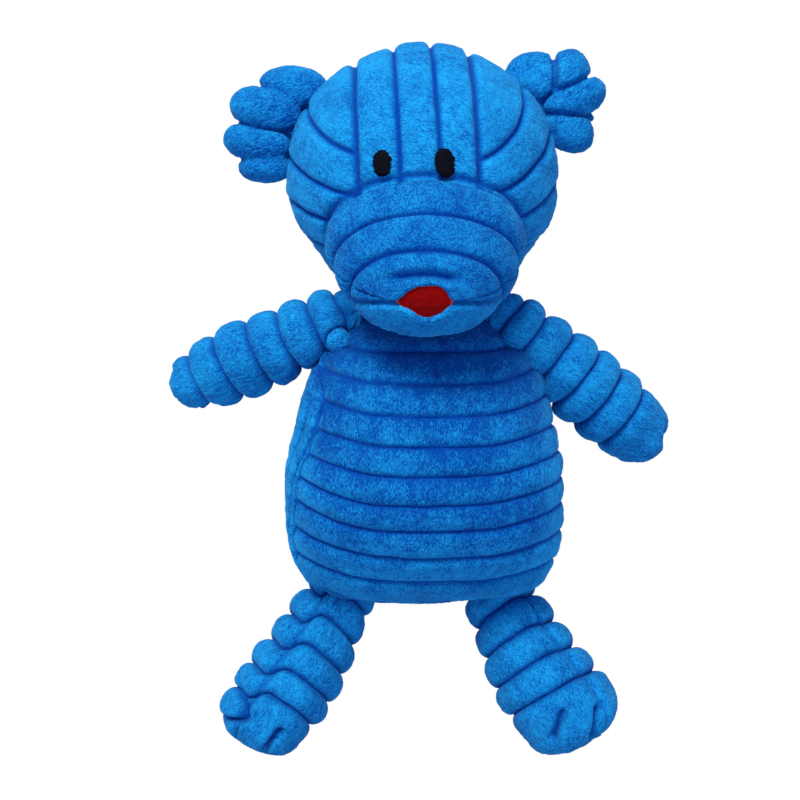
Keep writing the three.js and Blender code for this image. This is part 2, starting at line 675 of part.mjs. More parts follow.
const mouthCentre = muzzleCentre.clone()
  .addScaledVector(across, mouth.x).addScaledVector(leanedUp(mouth.lean), -mouth.drop);
const mouthPrism = (grow) => ovalPrism(
  mouthCentre, leanedWay(mouth.lean), mouth.halfWidth + grow, mouth.halfHeight + grow, muzzle.reach * 2, mouth.sides,
  mouth.cornerShare);
const mouthSeat = mouth.proud - mouth.thick;
const mouthFelt = mouthPrism(0).intersect(muzzleForm(mouth.proud, false))
  .subtract(muzzleForm(mouthSeat, false));
const mouthPocket = mouthPrism(seamGap).subtract(muzzleForm(mouthSeat - seamGap, false));
const headCore = plainEllipsoid(headCentre, inset(headSemi, cloth), head.plainSides);
const muzzleCloth = muzzleForm(0, true).subtract(muzzleForm(-cloth, false)).subtract(headCore)
  .subtract(mouthPocket).subtract(neckRoom);
const mouthSeamY = muzzleCentre.y - mouth.seamDrop;
const muzzleTop = muzzleCloth.intersect(halfSpace('y', mouthSeamY + half, overrun));
const chin = muzzleCloth.intersect(halfSpace('y', -overrun, mouthSeamY - half));
addPiece(skull, 'muzzle_panel', muzzleTop, 'corduroy');
addPiece(skull, 'chin_panel', chin, 'corduroy');
const muzzleFill = muzzleForm(-cloth - seamGap, false).subtract(headCore).subtract(neckRoom);
addPiece(skull, 'muzzle_stuffing', muzzleFill, 'stuffing');
addPiece(skull, 'mouth_felt', mouthFelt, 'felt');
addPiece(skull, 'left_eye', eyePatch(leftEye), 'thread');
addPiece(skull, 'right_eye', eyePatch(rightEye), 'thread');

['left_ear', 'right_ear'].forEach((name, i) => {
  const group = bodyAt(ears[i].root);
  addPiece(group, `${name}_front`, ears[i].front, 'corduroy');
  addPiece(group, `${name}_back`, ears[i].back, 'corduroy');
});

const limbs = { left_arm: leftArm, right_arm: rightArm, left_leg: leftLeg, right_leg: rightLeg };
Object.entries(limbs).forEach(([name, spec]) => {
  const { cover, stuffing } = limbPieces(spec);
  const group = bodyAt(rootOf(spec));
  addPiece(group, `${name}_cover`, cover, 'corduroy');
  addPiece(group, `${name}_stuffing`, stuffing, 'stuffing');
});

export default toy;
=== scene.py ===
# A squeaky corduroy dog toy that lies on its back, dressed for rendering.
# Forms are worked out in millimetres and turned into metres when a mesh is made.
# X runs across the toy, Y from its feet to its head, Z from its back to its face.

import math

import bpy
import numpy as np
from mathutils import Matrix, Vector


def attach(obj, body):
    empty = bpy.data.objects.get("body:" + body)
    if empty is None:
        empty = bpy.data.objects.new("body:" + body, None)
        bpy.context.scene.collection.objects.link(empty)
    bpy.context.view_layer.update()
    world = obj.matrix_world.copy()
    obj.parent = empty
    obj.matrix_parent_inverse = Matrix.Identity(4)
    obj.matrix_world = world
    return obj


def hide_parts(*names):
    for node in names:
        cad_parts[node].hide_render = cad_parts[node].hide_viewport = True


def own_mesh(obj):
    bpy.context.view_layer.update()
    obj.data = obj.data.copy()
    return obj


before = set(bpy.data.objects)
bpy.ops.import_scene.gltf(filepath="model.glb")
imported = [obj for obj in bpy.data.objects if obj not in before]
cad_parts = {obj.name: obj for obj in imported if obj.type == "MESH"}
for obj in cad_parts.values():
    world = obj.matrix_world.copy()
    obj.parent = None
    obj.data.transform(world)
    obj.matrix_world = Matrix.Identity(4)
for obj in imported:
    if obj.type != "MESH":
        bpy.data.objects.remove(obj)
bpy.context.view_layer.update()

MM = 0.001
# How far apart the points of a mesh are
STEP = 0.45

# Corduroy: how deep the grooves are, how high the pile's tufts are and how far they are drawn out
WALE_DEPTH = 2.5
NAP_HEIGHT = 0.26
DRAWN_OUT_SHARE = 0.58

# Head: an ellipsoid, and the places across it where the forehead gusset is sewn to the cheeks
HEAD_CENTRE = np.array([0.0, 93.0, 44.0])
HEAD_SEMI = np.array([50.5, 48.5, 45.0])
GUSSET_LEFT, GUSSET_RIGHT = -23.5, 18.5

# Muzzle: a full rounded form that leans toward the chest and narrows outward
MUZZLE_CENTRE = np.array([0.5, 63.0, 81.0])
MUZZLE_HALF_WIDTH, MUZZLE_HALF_LENGTH, MUZZLE_REACH = 32.8, 23.8, 27.7
MUZZLE_LEAN = math.radians(44)
MUZZLE_FULLNESS = 2.6
MUZZLE_NARROWING = 0.23

# Mouth: the place along the toy of the seam that it lies on, and how far its felt leans
MOUTH_SEAM_Y = 49.0
MOUTH_LEAN = math.radians(29)

# Body: its middle across the toy, and the lowest place of the seam between belly and back
BODY_X = 1.5


# Noise

def hashed(x, y, z, seed):
    """A number from -1 to 1 for each whole-number cell."""
    h = (x * 73856093) ^ (y * 19349663) ^ (z * 83492791) ^ (seed * 2654435761)
    for _ in range(2):
        h &= 0xFFFFFFFF
        h = (h ^ (h >> 16)) * 0x45D9F3B
    h &= 0xFFFFFFFF
    return (h ^ (h >> 16)) / 2147483647.5 - 1


def noise(points, size, seed):
    """Smooth noise from -1 to 1 with bumps about as wide as size; each use has its own seed."""
    q = points / size
    cell = np.floor(q).astype(np.int64)
    f = q - cell
    f = f * f * (3 - 2 * f)
    total = np.zeros(points.shape[:-1])
    for dx in (0, 1):
        for dy in (0, 1):
            for dz in (0, 1):
                weight = (
                    np.abs(1 - dx - f[..., 0]) * np.abs(1 - dy - f[..., 1]) * np.abs(1 - dz - f[..., 2])
                )
                total += weight * hashed(cell[..., 0] + dx, cell[..., 1] + dy, cell[..., 2] + dz, seed)
    return total


def unit(vector):
    """The vector with a length of 1."""
    vector = np.asarray(vector, float)
    return vector / np.linalg.norm(vector)


def combed(points, lie):
    """Places squeezed the way the pile lies, so that noise over them is drawn out that way."""
    lie = unit(lie)
    return points - DRAWN_OUT_SHARE * (points @ lie)[..., None] * lie


def nap(points, drawn):
    """Tufts of pile, from about -1 to 1."""
    return 0.5 * noise(drawn, 0.6, 3) + 0.5 * noise(drawn, 1.1, 4) + 0.45 * noise(points, 2.4, 5)


# Wales

def ramp(value, start, stop):
    """0 at start and before it, 1 at stop and beyond, even between the two."""
    return np.clip((value - start) / (stop - start), 0, 1)


def wales(place, grooves, bare, shoulder):
    """Height of the ribs: 0 as far as bare from a groove, rising to 1 over the shoulder beyond it."""
    grooves = np.asarray(grooves, float)
    right = np.clip(np.searchsorted(grooves, place), 1, len(grooves) - 1)
    edge = np.minimum(place - grooves[right - 1], grooves[right] - place)
    rise = np.clip((edge - bare) / shoulder, 0, 1)
    return np.sqrt(np.clip(1 - (1 - rise) ** 2, 0, 1))


def across_rib(place, grooves):
    """-1 at a rib's lower edge to 1 at its upper one."""
    grooves = np.asarray(grooves, float)
    right = np.clip(np.searchsorted(grooves, place), 1, len(grooves) - 1)
    return 2 * (place - grooves[right - 1]) / (grooves[right] - grooves[right - 1]) - 1


def steepness(points, place):
    """How fast place grows along a grid of points, in mm for each mm and kept from 0.3 to 1."""
    along_u, along_v = np.gradient(points, axis=1), np.gradient(points, axis=0)
    rise_u, rise_v = np.gradient(place, axis=1), np.gradient(place, axis=0)
    uu, vv = np.sum(along_u ** 2, -1), np.sum(along_v ** 2, -1)
    uv = np.sum(along_u * along_v, -1)
    area = np.maximum(uu * vv - uv ** 2, 1e-9)
    squared = (rise_u ** 2 * vv - 2 * rise_u * rise_v * uv + rise_v ** 2 * uu) / area
    return np.clip(np.sqrt(np.maximum(squared, 0)), 0.3, 1)


def crease(distance, width):
    """1 on a seam, fading to 0 beside it."""
    return np.exp(-((distance / width) ** 2))


# Meshes

def points_over(length):
    """How many points a mesh has over a length in mm."""
    return int(length / STEP)


def normals(points, wrap, inside):
    """Normals of a grid's points, which face away from a place inside."""
    if wrap:
        du = np.roll(points, -1, 1) - np.roll(points, 1, 1)
    else:
        du = np.gradient(points, axis=1)
    dv = np.gradient(points, axis=0)
    n = np.cross(du, dv)
    n /= np.maximum(np.linalg.norm(n, axis=-1, keepdims=True), 1e-9)
    if np.sum(n * (points - inside)) < 0:
        n = -n
    return n


def grid_faces(rows, cols, wrap):
    """Four-sided faces over a grid of points; wrap joins its last column to its first."""
    r = np.arange(rows - 1)[:, None]
    c = np.arange(cols if wrap else cols - 1)[None, :]
    low = r * cols
    here, right = low + c, low + (c + 1) % cols
    return np.stack([here, right, right + cols, here + cols], axis=-1).reshape(-1, 4)


def make(name, vertices, faces, values, material, body, slot, replaced, fill=None):
    """A piece of the toy from vertices in mm, its face lists, and named values at its vertices."""
    vertices = np.asarray(vertices, float)
    mesh = bpy.data.meshes.new(name)
    mesh.from_pydata((vertices * MM).tolist(), [], faces)
    for key, value in values.items():
        value = np.asarray(value, np.float32)
        kind, field = ("FLOAT", "value") if value.ndim == 1 else ("FLOAT_VECTOR", "vector")
        mesh.attributes.new(key, kind, "POINT").data.foreach_set(field, value.ravel())
    mesh.polygons.foreach_set("use_smooth", np.ones(len(mesh.polygons), bool))
    mesh.update()
    mesh.validate()
    if signed_volume(mesh) < 0:
        mesh.flip_normals()
    mesh.materials.append(material)
    piece = bpy.data.objects.new(name, mesh)
    bpy.context.scene.collection.objects.link(piece)
    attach(piece, body)
    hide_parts(*replaced)


def signed_volume(mesh):
    """Six times the volume inside the mesh, below 0 where its faces look inward."""
    mesh.calc_loop_triangles()
    corners = np.zeros(len(mesh.loop_triangles) * 3, np.int32)
    mesh.loop_triangles.foreach_get("vertices", corners)
    places = np.zeros(len(mesh.vertices) * 3, np.float32)
    mesh.vertices.foreach_get("co", places)
    a, b, c = places.reshape(-1, 3)[corners.reshape(-1, 3)].transpose(1, 0, 2).astype(float)
    return float(np.sum(a * np.cross(b, c)))


def with_ends(value, ends):
    """The values of a grid's points as a list, with those of the points that close it."""
    flat = value.reshape(-1, 3) if value.ndim == 3 else value.ravel()
    return np.concatenate([flat, np.repeat(flat[-1:], ends, axis=0)])


def panel(name, points, values, hub, **look):
    """A cloth panel over a grid of points, closed by facets that meet at a point inside the toy."""
    rows, cols = points.shape[:2]
    faces = grid_faces(rows, cols, False).tolist()
    index = np.arange(rows * cols).reshape(rows, cols)
    rim = np.concatenate([index[0, :-1], index[:-1, -1], index[-1, :0:-1], index[:0:-1, 0]])
    centre = rows * cols
    faces += [[int(b), int(a), centre] for a, b in zip(rim, np.roll(rim, -1))]
    vertices = np.vstack([points.reshape(-1, 3), hub])
    filled = {key: with_ends(value, 1) for key, value in values.items()}
    make(name, vertices, faces, filled, **look)


def tube(name, points, values, ends, **look):
    """A stuffed form over rings of points, closed by a point at each end."""
    rows, cols = points.shape[:2]
    faces = grid_faces(rows, cols, True).tolist()
    low, high = rows * cols, rows * cols + 1
    last = (rows - 1) * cols
    for side in range(cols):
        after = (side + 1) % cols
        faces.append([after, side, low])
        faces.append([last + side, last + after, high])
    vertices = np.vstack([points.reshape(-1, 3), ends[0], ends[1]])
    filled = {key: with_ends(value, 2) for key, value in values.items()}
    make(name, vertices, faces, filled, **look)


def clothed(base, normal, height, lie, depth=WALE_DEPTH, extra=0.0, tone_and_shade=0.0):
    """Points of corduroy over a smooth form whose pile lies one way, and what its material reads."""
    drawn = combed(base, lie)
    tuft = nap(base, drawn)
    # pile is the ribs' height; the material paints groove shade where it is low, so every groove, seam,
    # crease, notch and pinch that lowers the height is painted darker as well as sunk
    pile = np.clip(height, 0, 1)
    lumps = 0.35 * noise(base, 5.5, 6) * pile
    lift = -depth * (1 - height) + NAP_HEIGHT * tuft * (0.25 + 0.75 * pile) + lumps + extra
    # The tone value is each part's lightness, with painted shade added on the body
    values = {"pile": pile, "tuft": tuft, "drawn": drawn, "tone_and_shade": tone_and_shade + 0 * pile}
    return base + normal * lift[..., None], values


# Materials

LIGHT_BLUE = (0.012, 0.35, 0.80, 1)
DEEP_BLUE = (0.0003, 0.064, 0.34, 1)
# Painted shade of the grooves between the ribs, and of seams, creases and notches
GROOVE_SHADE_BLUE = (0.0003, 0.058, 0.37, 1)
SHEEN_BLUE = (0.15, 0.6, 1, 1)
DARK_THREAD, PALE_THREAD = (0.0003, 0.0003, 0.003, 1), (0.002, 0.002, 0.009, 1)
DARK_FELT, LIGHT_FELT = (0.21, 0.0, 0.001, 1), (0.37, 0.001, 0.001, 1)
DARK_FRAY, LIGHT_FRAY = (0.45, 0.01, 0.01, 1), (0.85, 0.13, 0.07, 1)
DARK_BULB, LIGHT_BULB = (0.72, 0.75, 0.78, 1), (0.82, 0.84, 0.86, 1)
DARK_REED, LIGHT_REED = (0.78, 0.78, 0.74, 1), (0.88, 0.88, 0.85, 1)


def new_material(name):
    """A material of nodes, with its nodes and their links."""
    material = bpy.data.materials.new(name)
    material.use_nodes = True
    return material, material.node_tree.nodes, material.node_tree.links


def noise_node(nodes, links, where, scale, detail):
    """Noise at a place: it is finer where scale is larger."""
    node = nodes.new("ShaderNodeTexNoise")
    node.inputs["Scale"].default_value = scale
    node.inputs["Detail"].default_value = detail
    links.new(where, node.inputs["Vector"])
    return node.outputs["Fac"]


def maths(nodes, links, operation, a, b):
    """The sum, product or the like of two values, each a number or a socket."""
    node = nodes.new("ShaderNodeMath")
    node.operation = operation
    for socket, value in zip(node.inputs, (a, b)):
        if isinstance(value, (int, float)):
            socket.default_value = value
        else:
            links.new(value, socket)
    return node.outputs[0]


def mix_colour(nodes, links, share, first, second):
    """A colour between two, each a colour or a socket: share is how much of the second there is."""
    node = nodes.new("ShaderNodeMix")
    node.data_type = "RGBA"
    links.new(share, node.inputs["Factor"])
    for socket, value in ((node.inputs["A"], first), (node.inputs["B"], second)):
        if isinstance(value, tuple):
            socket.default_value = value
        else:
            links.new(value, socket)
    return node.outputs["Result"]


def attribute(nodes, name):
    """A number stored at the points of a mesh."""
    node = nodes.new("ShaderNodeAttribute")
    node.attribute_name = name
    return node.outputs["Fac"]


def stretch(nodes, links, value, low, high):
    """The value stretched so that low becomes 0 and high becomes 1."""
    node = nodes.new("ShaderNodeMapRange")
    node.inputs["From Min"].default_value = low
    node.inputs["From Max"].default_value = high
    links.new(value, node.inputs["Value"])
    return node.outputs["Result"]


def add_bump(nodes, links, shader, heights, strength, distance):
    """Small relief for a shader: distance is its depth in mm."""
    bump = nodes.new("ShaderNodeBump")
    bump.inputs["Strength"].default_value = strength
    bump.inputs["Distance"].default_value = distance * MM
    links.new(heights, bump.inputs["Height"])
    links.new(bump.outputs["Normal"], shader.inputs["Normal"])


def corduroy_material():
    """Blue pile mottled by noise from a deep blue to a lighter, greener one; painted shade makes the
    hollows between its tufts darker and its tips lighter, follows each part's tone and painted shade, and
    turns the ground between the ribs a deeper painted groove shade blue.
    """
    material, nodes, links = new_material("blue_corduroy")
    shader = nodes["Principled BSDF"]
    pile, tuft, tone_and_shade = attribute(nodes, "pile"), attribute(nodes, "tuft"), attribute(nodes, "tone_and_shade")
    drawn = nodes.new("ShaderNodeAttribute")
    drawn.attribute_name = "drawn"
    strands = noise_node(nodes, links, drawn.outputs["Vector"], 2.3, 1.0)
    locks = noise_node(nodes, links, drawn.outputs["Vector"], 0.8, 2.0)
    brushed = noise_node(nodes, links, drawn.outputs["Vector"], 0.09, 2.0)
    sum_of = tone_and_shade
    # The tuft term is painted shade: hollows between the pile's tufts darker and their tips lighter
    for value, weight in ((tuft, 0.17), (strands, 1.25), (locks, 0.3), (brushed, 0.6)):
        sum_of = maths(nodes, links, "ADD", sum_of, maths(nodes, links, "MULTIPLY", value, weight))
    share = stretch(nodes, links, sum_of, 0.705, 1.385)
    fur = mix_colour(nodes, links, share, DEEP_BLUE, LIGHT_BLUE)
    # Painted groove shade: where the pile is low the colour goes to the groove shade blue
    cover = stretch(nodes, links, pile, 0.0, 0.75)
    links.new(mix_colour(nodes, links, cover, GROOVE_SHADE_BLUE, fur), shader.inputs["Base Color"])
    shader.inputs["Roughness"].default_value = 0.9
    shader.inputs["Specular IOR Level"].default_value = 0.06
    shader.inputs["Sheen Weight"].default_value = 0.22
    shader.inputs["Sheen Roughness"].default_value = 0.4
    shader.inputs["Sheen Tint"].default_value = SHEEN_BLUE
    add_bump(nodes, links, shader, maths(nodes, links, "ADD", strands, locks), 0.9, 0.5)
    return material


def thread_material():
    """Black satin thread of the eyes."""
    material, nodes, links = new_material("black_thread")
    shader = nodes["Principled BSDF"]
    where = nodes.new("ShaderNodeTexCoord").outputs["Object"]
    share = noise_node(nodes, links, where, 900, 2.0)
    links.new(mix_colour(nodes, links, share, DARK_THREAD, PALE_THREAD), shader.inputs["Base Color"])
    shader.inputs["Roughness"].default_value = 0.7
    shader.inputs["Specular IOR Level"].default_value = 0.07
    return material


def felt_material():
    """Red felt whose cut edge is frayed and paler."""
    material, nodes, links = new_material("red_felt")
    shader = nodes["Principled BSDF"]
    where = nodes.new("ShaderNodeTexCoord").outputs["Object"]
    share = noise_node(nodes, links, where, 1100, 3.0)
    edge = attribute(nodes, "edge")
    felt = mix_colour(nodes, links, share, DARK_FELT, LIGHT_FELT)
    frayed = mix_colour(nodes, links, share, DARK_FRAY, LIGHT_FRAY)
    links.new(mix_colour(nodes, links, edge, felt, frayed), shader.inputs["Base Color"])
    shader.inputs["Roughness"].default_value = 0.95
    shader.inputs["Specular IOR Level"].default_value = 0.1
    add_bump(nodes, links, shader, share, 0.4, 0.2)
    return material


def plastic_material(name, dark, light, roughness):
    """Cloudy moulded plastic of the squeaker."""
    material, nodes, links = new_material(name)
    shader = nodes["Principled BSDF"]
    where = nodes.new("ShaderNodeTexCoord").outputs["Object"]
    share = noise_node(nodes, links, where, 260, 3.0)
    links.new(mix_colour(nodes, links, share, dark, light), shader.inputs["Base Color"])
    shader.inputs["Roughness"].default_value = roughness
    add_bump(nodes, links, shader, share, 0.15, 0.1)
    return material


CORDUROY = corduroy_material()
THREAD = thread_material()
FELT = felt_material()
BULB = plastic_material("bulb_plastic", DARK_BULB, LIGHT_BULB, 0.42)
REED = plastic_material("reed_plastic", DARK_REED, LIGHT_REED, 0.25)


# Body

# Place along the body, half width, half depth and height of the middle, from the crotch to the neck
BODY_ROWS = np.array([
    (-69.4, 0.1, 0.1, 30.0), (-68.9, 16, 10, 30.2), (-67.0, 33.2, 18.8, 30.5), (-62.8, 44.9, 27.6, 31.3),
    (-57.0, 48.7, 32.1, 33.4), (-49.3, 52.2, 35.7, 36.0), (-39.4, 53.5, 39.0, 38.5),
    (-22.8, 53.5, 41.5, 41.0), (-11.7, 52.7, 41.7, 41.2), (-2.9, 50.6, 41.3, 40.8),
    (9.2, 47.9, 40.3, 39.8), (22.5, 44.7, 37.6, 37.8), (32.5, 37.5, 33.0, 36.8),
    (39.0, 28.5, 26.0, 37.0), (43.5, 21.5, 20.5, 37.6), (48.0, 19.0, 18.5, 38.0), (54.0, 17.5, 17.5, 38.0),
])
# Places of the grooves along the middle of the body
BODY_GROOVES = [-78, -66.5, -54.6, -43.4, -32.2, -22.2, -11.6, -1.2, 9.7, 20.9, 32.0, 43.0, 54.0, 66.0]
# About how far it is from crotch to neck and round one panel, for the number of points
BODY_RUN, BODY_ROUND = 152, 128
# Degrees round the body, from its right side over the belly, where its two panels are sewn together
BODY_SEAMS = (-3, 183)
# 2 is an ellipse across the body, and more is squarer
SQUARENESS = 2.25
# How far the grooves rise toward the body's left and right sides
LEFT_BEND, RIGHT_BEND = 6.3, 4.2
# The left side seam: place along the body and degrees round it
SIDE_SEAM = np.array([
    (-67, 161), (-50, 160), (-38, 158), (-28, 155), (-17, 152.5), (-8, 148), (1, 144.5), (11, 142.5),
    (18, 145), (25, 152), (33, 163), (60, 168)])
# The grooves of the strip outside that seam, counted from it, and how much they slant
STRIP_GROOVES = [-40, -21, -8.5, 2.4, 12.6, 23.5, 60]
STRIP_SLANT = 0.12
# The short tuck on the chest: its place across and along the toy, and half its length
TUCK_X, TUCK_Y, TUCK_HALF_LENGTH = 4, 25.5, 6


def smooth_rows(table, steps):
    """Rows of a table drawn through by a Catmull-Rom curve, evenly spread along it."""
    padded = np.vstack([2 * table[0] - table[1], table, 2 * table[-1] - table[-2]])
    pieces = []
    for i in range(len(table) - 1):
        a, b, c, d = padded[i:i + 4]
        t = np.linspace(0, 1, 40, endpoint=False)[:, None]
        pieces.append(0.5 * (
            2 * b + (c - a) * t + (2 * a - 5 * b + 4 * c - d) * t ** 2 + (3 * b - a - 3 * c + d) * t ** 3))
    curve = np.vstack(pieces + [table[-1:]])
    run = np.concatenate([[0], np.cumsum(np.linalg.norm(np.diff(curve[:, :2], axis=0), axis=1))])
    at = np.linspace(0, run[-1], steps)
    return np.stack([np.interp(at, run, curve[:, k]) for k in range(curve.shape[1])], axis=1)


def body_form(start, stop):
    """A grid over the body between two angles: its points, their normals, its angles and half widths."""
    rows = smooth_rows(BODY_ROWS, points_over(BODY_RUN))
    pitch = (stop - start) / points_over(BODY_ROUND)
    # One more column beyond each edge, cut away below, makes both panels' normals agree on their seam
    angle = np.arange(start - pitch, stop + 1.5 * pitch, pitch)
    power = 2 / SQUARENESS
    cos, sin = np.cos(angle), np.sin(angle)
    across = np.sign(cos) * np.abs(cos) ** power
    upright = np.sign(sin) * np.abs(sin) ** power
    place, width, depth, middle = rows.T
    base = np.stack([
        BODY_X + width[:, None] * across,
        np.broadcast_to(place[:, None], (len(rows), len(angle))),
        middle[:, None] + depth[:, None] * upright,
    ], axis=-1)
    normal = normals(base, False, np.array([BODY_X, -10.0, 40.0]))
    base, normal, angle = base[:, 1:-1], normal[:, 1:-1], angle[1:-1]
    base = base + normal * (0.9 * noise(base, 21, 21))[..., None]
    return base, normal, angle, width[:, None]


def body_place(base):
    """Places along the body as its grooves run, which rise toward both sides of the belly."""
    from_middle = base[..., 0] - BODY_X
    bend = LEFT_BEND * np.clip((-from_middle - 19) / 27, 0, 1.2) ** 1.5
    bend = bend + RIGHT_BEND * np.clip((from_middle - 21) / 26, 0, 1.2) ** 1.5
    return base[..., 1] - bend * ramp(base[..., 2], 30, 50)


def body_height(base, angle, width, along, steep, front):
    """Height of the body's ribs, with its side strip and the grooves of its seams."""
    height = wales(along, BODY_GROOVES, bare=0.3 * steep, shoulder=4.6 * steep)
    seam_angle = np.radians(np.interp(base[..., 1], *SIDE_SEAM.T))
    from_seam = (angle - seam_angle) * width + 0.8 * noise(base, 9, 24)
    strip = wales(from_seam + STRIP_SLANT * base[..., 1], STRIP_GROOVES, 0.3, 4.4)
    height = np.where((from_seam > 0) & front, strip, height)
    height = height * (1 - 0.9 * crease(from_seam, 1.3) * ramp(base[..., 1], 44, 38))
    from_edge = np.minimum(angle - angle[0], angle[-1] - angle) * width
    return height * (1 - crease(from_edge, 1.2))


def body_painted_shade(base, along):
    """Painted light and shade on the body: the head's shadow painted darker on the chest, lighter low down
    and at the sides, and each rib lighter toward its lower edge and darker toward its upper one.
    """
    chest = ramp(base[..., 1], 5, 30)
    low = ramp(base[..., 1], -30, -55)
    side = ramp(np.abs(base[..., 0] - BODY_X), 38, 50)
    return -0.19 - 0.16 * chest + 0.19 * low + 0.28 * side - 0.12 * across_rib(along, BODY_GROOVES)


def body_panel(name, front, inner_z, replaced):
    """The body's front or back cloth, closed at a point inside, clear of the squeaker's stroke."""
    right, left = BODY_SEAMS
    start, stop = (right, left) if front else (left, right + 360)
    base, normal, angle, width = body_form(math.radians(start), math.radians(stop))
    place = body_place(base)
    steep = steepness(base, place)
    along = place + (0.55 * noise(base, 26, 22) + 0.18 * noise(base, 7, 23)) * steep
    height = body_height(base, angle, width, along, steep, front)
    aside = base[..., 0] - TUCK_X - 0.6 * noise(base, 5, 25)
    tuck = crease(aside, 0.9) * ramp(np.abs(base[..., 1] - TUCK_Y), TUCK_HALF_LENGTH, 0)
    depth = WALE_DEPTH * (1 - 0.5 * ramp(base[..., 0] - BODY_X, 36, 50))
    pressed = ramp(base[..., 2], 4.5, 0.5)
    # The tuck is sunk into the cloth and its crease is also painted darker as shade
    points, values = clothed(
        base, normal, height, (0.15, 1, 0), depth=depth, extra=0.35 * pressed - 1.1 * tuck,
        tone_and_shade=body_painted_shade(base, along) - 0.3 * tuck)
    points[..., 2] = np.maximum(points[..., 2], 0.0)
    panel(
        name, points, values, hub=(BODY_X, -12, inner_z),
        material=CORDUROY, body="torso", slot="corduroy", replaced=replaced, fill=0.8)


# Head

HEAD_WALE_DEPTH = 2.0
HEAD_TONE = 0.04
# How far the gusset's seams lean across for each mm along the head, and where they are measured
GUSSET_LEAN = 0.05
GUSSET_Y = 100
# The share of its width that the head loses low on the cheeks
CHEEK_DRAW_IN_SHARE = 0.085
# The place across the head where the cheeks end, just inside its side
HEAD_EDGE = 50.499
# How far round from the face the seam runs from ear to ear
EAR_SEAM = math.radians(92.5)
# About how far it is round a panel, and how far across for each radian, for the number of points
HEAD_ROUND, HEAD_ACROSS = 140, 44


def head_place(turn, round_angle):
    """A place on the head: turn goes from its right side to its left, round_angle from face to crown."""
    place = HEAD_CENTRE + HEAD_SEMI * np.stack([
        np.cos(turn), np.sin(turn) * np.sin(round_angle), np.sin(turn) * np.cos(round_angle)], axis=-1)
    place[..., 0] *= 1 - CHEEK_DRAW_IN_SHARE * ramp(place[..., 1], 88, 66) ** 2
    return place


def head_turns(edge, round_angle):
    """The turns of a panel's edge: the gusset's seams lean, and the cheeks' ends don't."""
    lean = GUSSET_LEAN * (HEAD_CENTRE[1] + 0.9 * HEAD_SEMI[1] * np.sin(round_angle) - GUSSET_Y)
    if abs(edge) == HEAD_EDGE:
        lean = 0 * lean
    return np.arccos(np.clip((edge - lean - HEAD_CENTRE[0]) / HEAD_SEMI[0], -0.99998, 0.99998))


def head_form(left, right, front):
    """A grid over the head between two edges: its points, normals and distances from the ears' seam."""
    span = (-EAR_SEAM, EAR_SEAM) if front else (EAR_SEAM, 2 * math.pi - EAR_SEAM)
    angle = np.linspace(*span, points_over(HEAD_ROUND))[None, :]
    first, last = head_turns(right, angle), head_turns(left, angle)
    rows = points_over(np.max(np.abs(last - first)) * HEAD_ACROSS)
    turn = first + (last - first) * np.linspace(0, 1, rows)[:, None]
    base = head_place(turn, angle + 0 * turn)
    normal = (base - HEAD_CENTRE) / HEAD_SEMI ** 2
    normal /= np.linalg.norm(normal, axis=-1, keepdims=True)
    from_back = base[..., 2] - HEAD_CENTRE[2] - HEAD_SEMI[2] * np.sin(turn) * math.cos(EAR_SEAM)
    return base + normal * (0.8 * noise(base, 24, 31))[..., None], normal, from_back


def head_panel(name, left, right, front, place_of, grooves, seams, replaced, bare=0.6, shoulder=3.2):
    """Head cloth between two places across the head; place_of measures from groove to groove."""
    base, normal, from_back = head_form(left, right, front)
    steep = steepness(base, place_of(base))
    place = place_of(base) + 0.5 * noise(base, 22, 32) + 0.16 * noise(base, 6, 33)
    height = wales(place, grooves, bare=bare * steep, shoulder=shoulder * steep)
    for seam in seams:
        height = height * (1 - crease(across_gusset(base) - seam, 1.2))
    # Beside the muzzle the pile is lowered: the cloth sinks a little and is painted groove shade, a painted
    # contact shadow along the muzzle
    muzzle_crease_and_shade = crease(muzzle_share(base) - 1.05, 0.11)
    height = height * (1 - crease(from_back, 1.2)) * (1 - 0.85 * muzzle_crease_and_shade)
    lie = (0.9, -0.35, 0.1) if front and left < 0 else (0.9, 0.3, 0.1)
    pressed = ramp(base[..., 2], 4.3, 0.3)
    points, values = clothed(
        base, normal, height, lie, depth=HEAD_WALE_DEPTH, extra=0.3 * pressed, tone_and_shade=HEAD_TONE)
    points[..., 2] = np.maximum(points[..., 2], 0.0)
    panel(
        name, points, values, hub=HEAD_CENTRE,
        material=CORDUROY, body="head", slot="corduroy", replaced=replaced, fill=0.9)


# Where the gusset's grooves run, and the rings that the cheeks' grooves follow round a point on the brow
GUSSET_GROOVES = [-65.5, -51.5, -37.5, -23.5, -9.0, 4.8, 18.5, 32.5, 46.5, 60.5]
LEFT_CHEEK_MIDDLE, LEFT_CHEEK_GROOVES = (-15, 126), [-9, 28.4, 42.6, 53, 61.5, 70, 81, 94, 140]
RIGHT_CHEEK_MIDDLE, RIGHT_CHEEK_GROOVES = (8, 122), [-9, 28.2, 40.6, 51.6, 61.5, 71.5, 82, 94, 140]


def across_gusset(places):
    """Places across the head, with the lean of the gusset's seams taken out."""
    return places[..., 0] + GUSSET_LEAN * (places[..., 1] - GUSSET_Y)


def around_brow(middle):
    """A function that measures how far places are from a point on the brow, seen from above."""
    return lambda places: np.hypot(places[..., 0] - middle[0], places[..., 1] - middle[1])


# Muzzle

ACROSS = np.array([1.0, 0, 0])
MUZZLE_GROOVES = [-40, -27, -14.5, 1.4, 14.6, 60]
MOUTH_HALF_WIDTH, MOUTH_HALF_HEIGHT = 9.0, 6.2
# The fold above the mouth: how far above its middle, how much it droops to the sides, and its half width
NOSE_FOLD_UP, NOSE_FOLD_DROOP, NOSE_FOLD_HALF_WIDTH = 9.4, 0.018, 14
# The muzzle's rings begin this many radians from the way straight down to the feet
POLE_TILT = 0.02
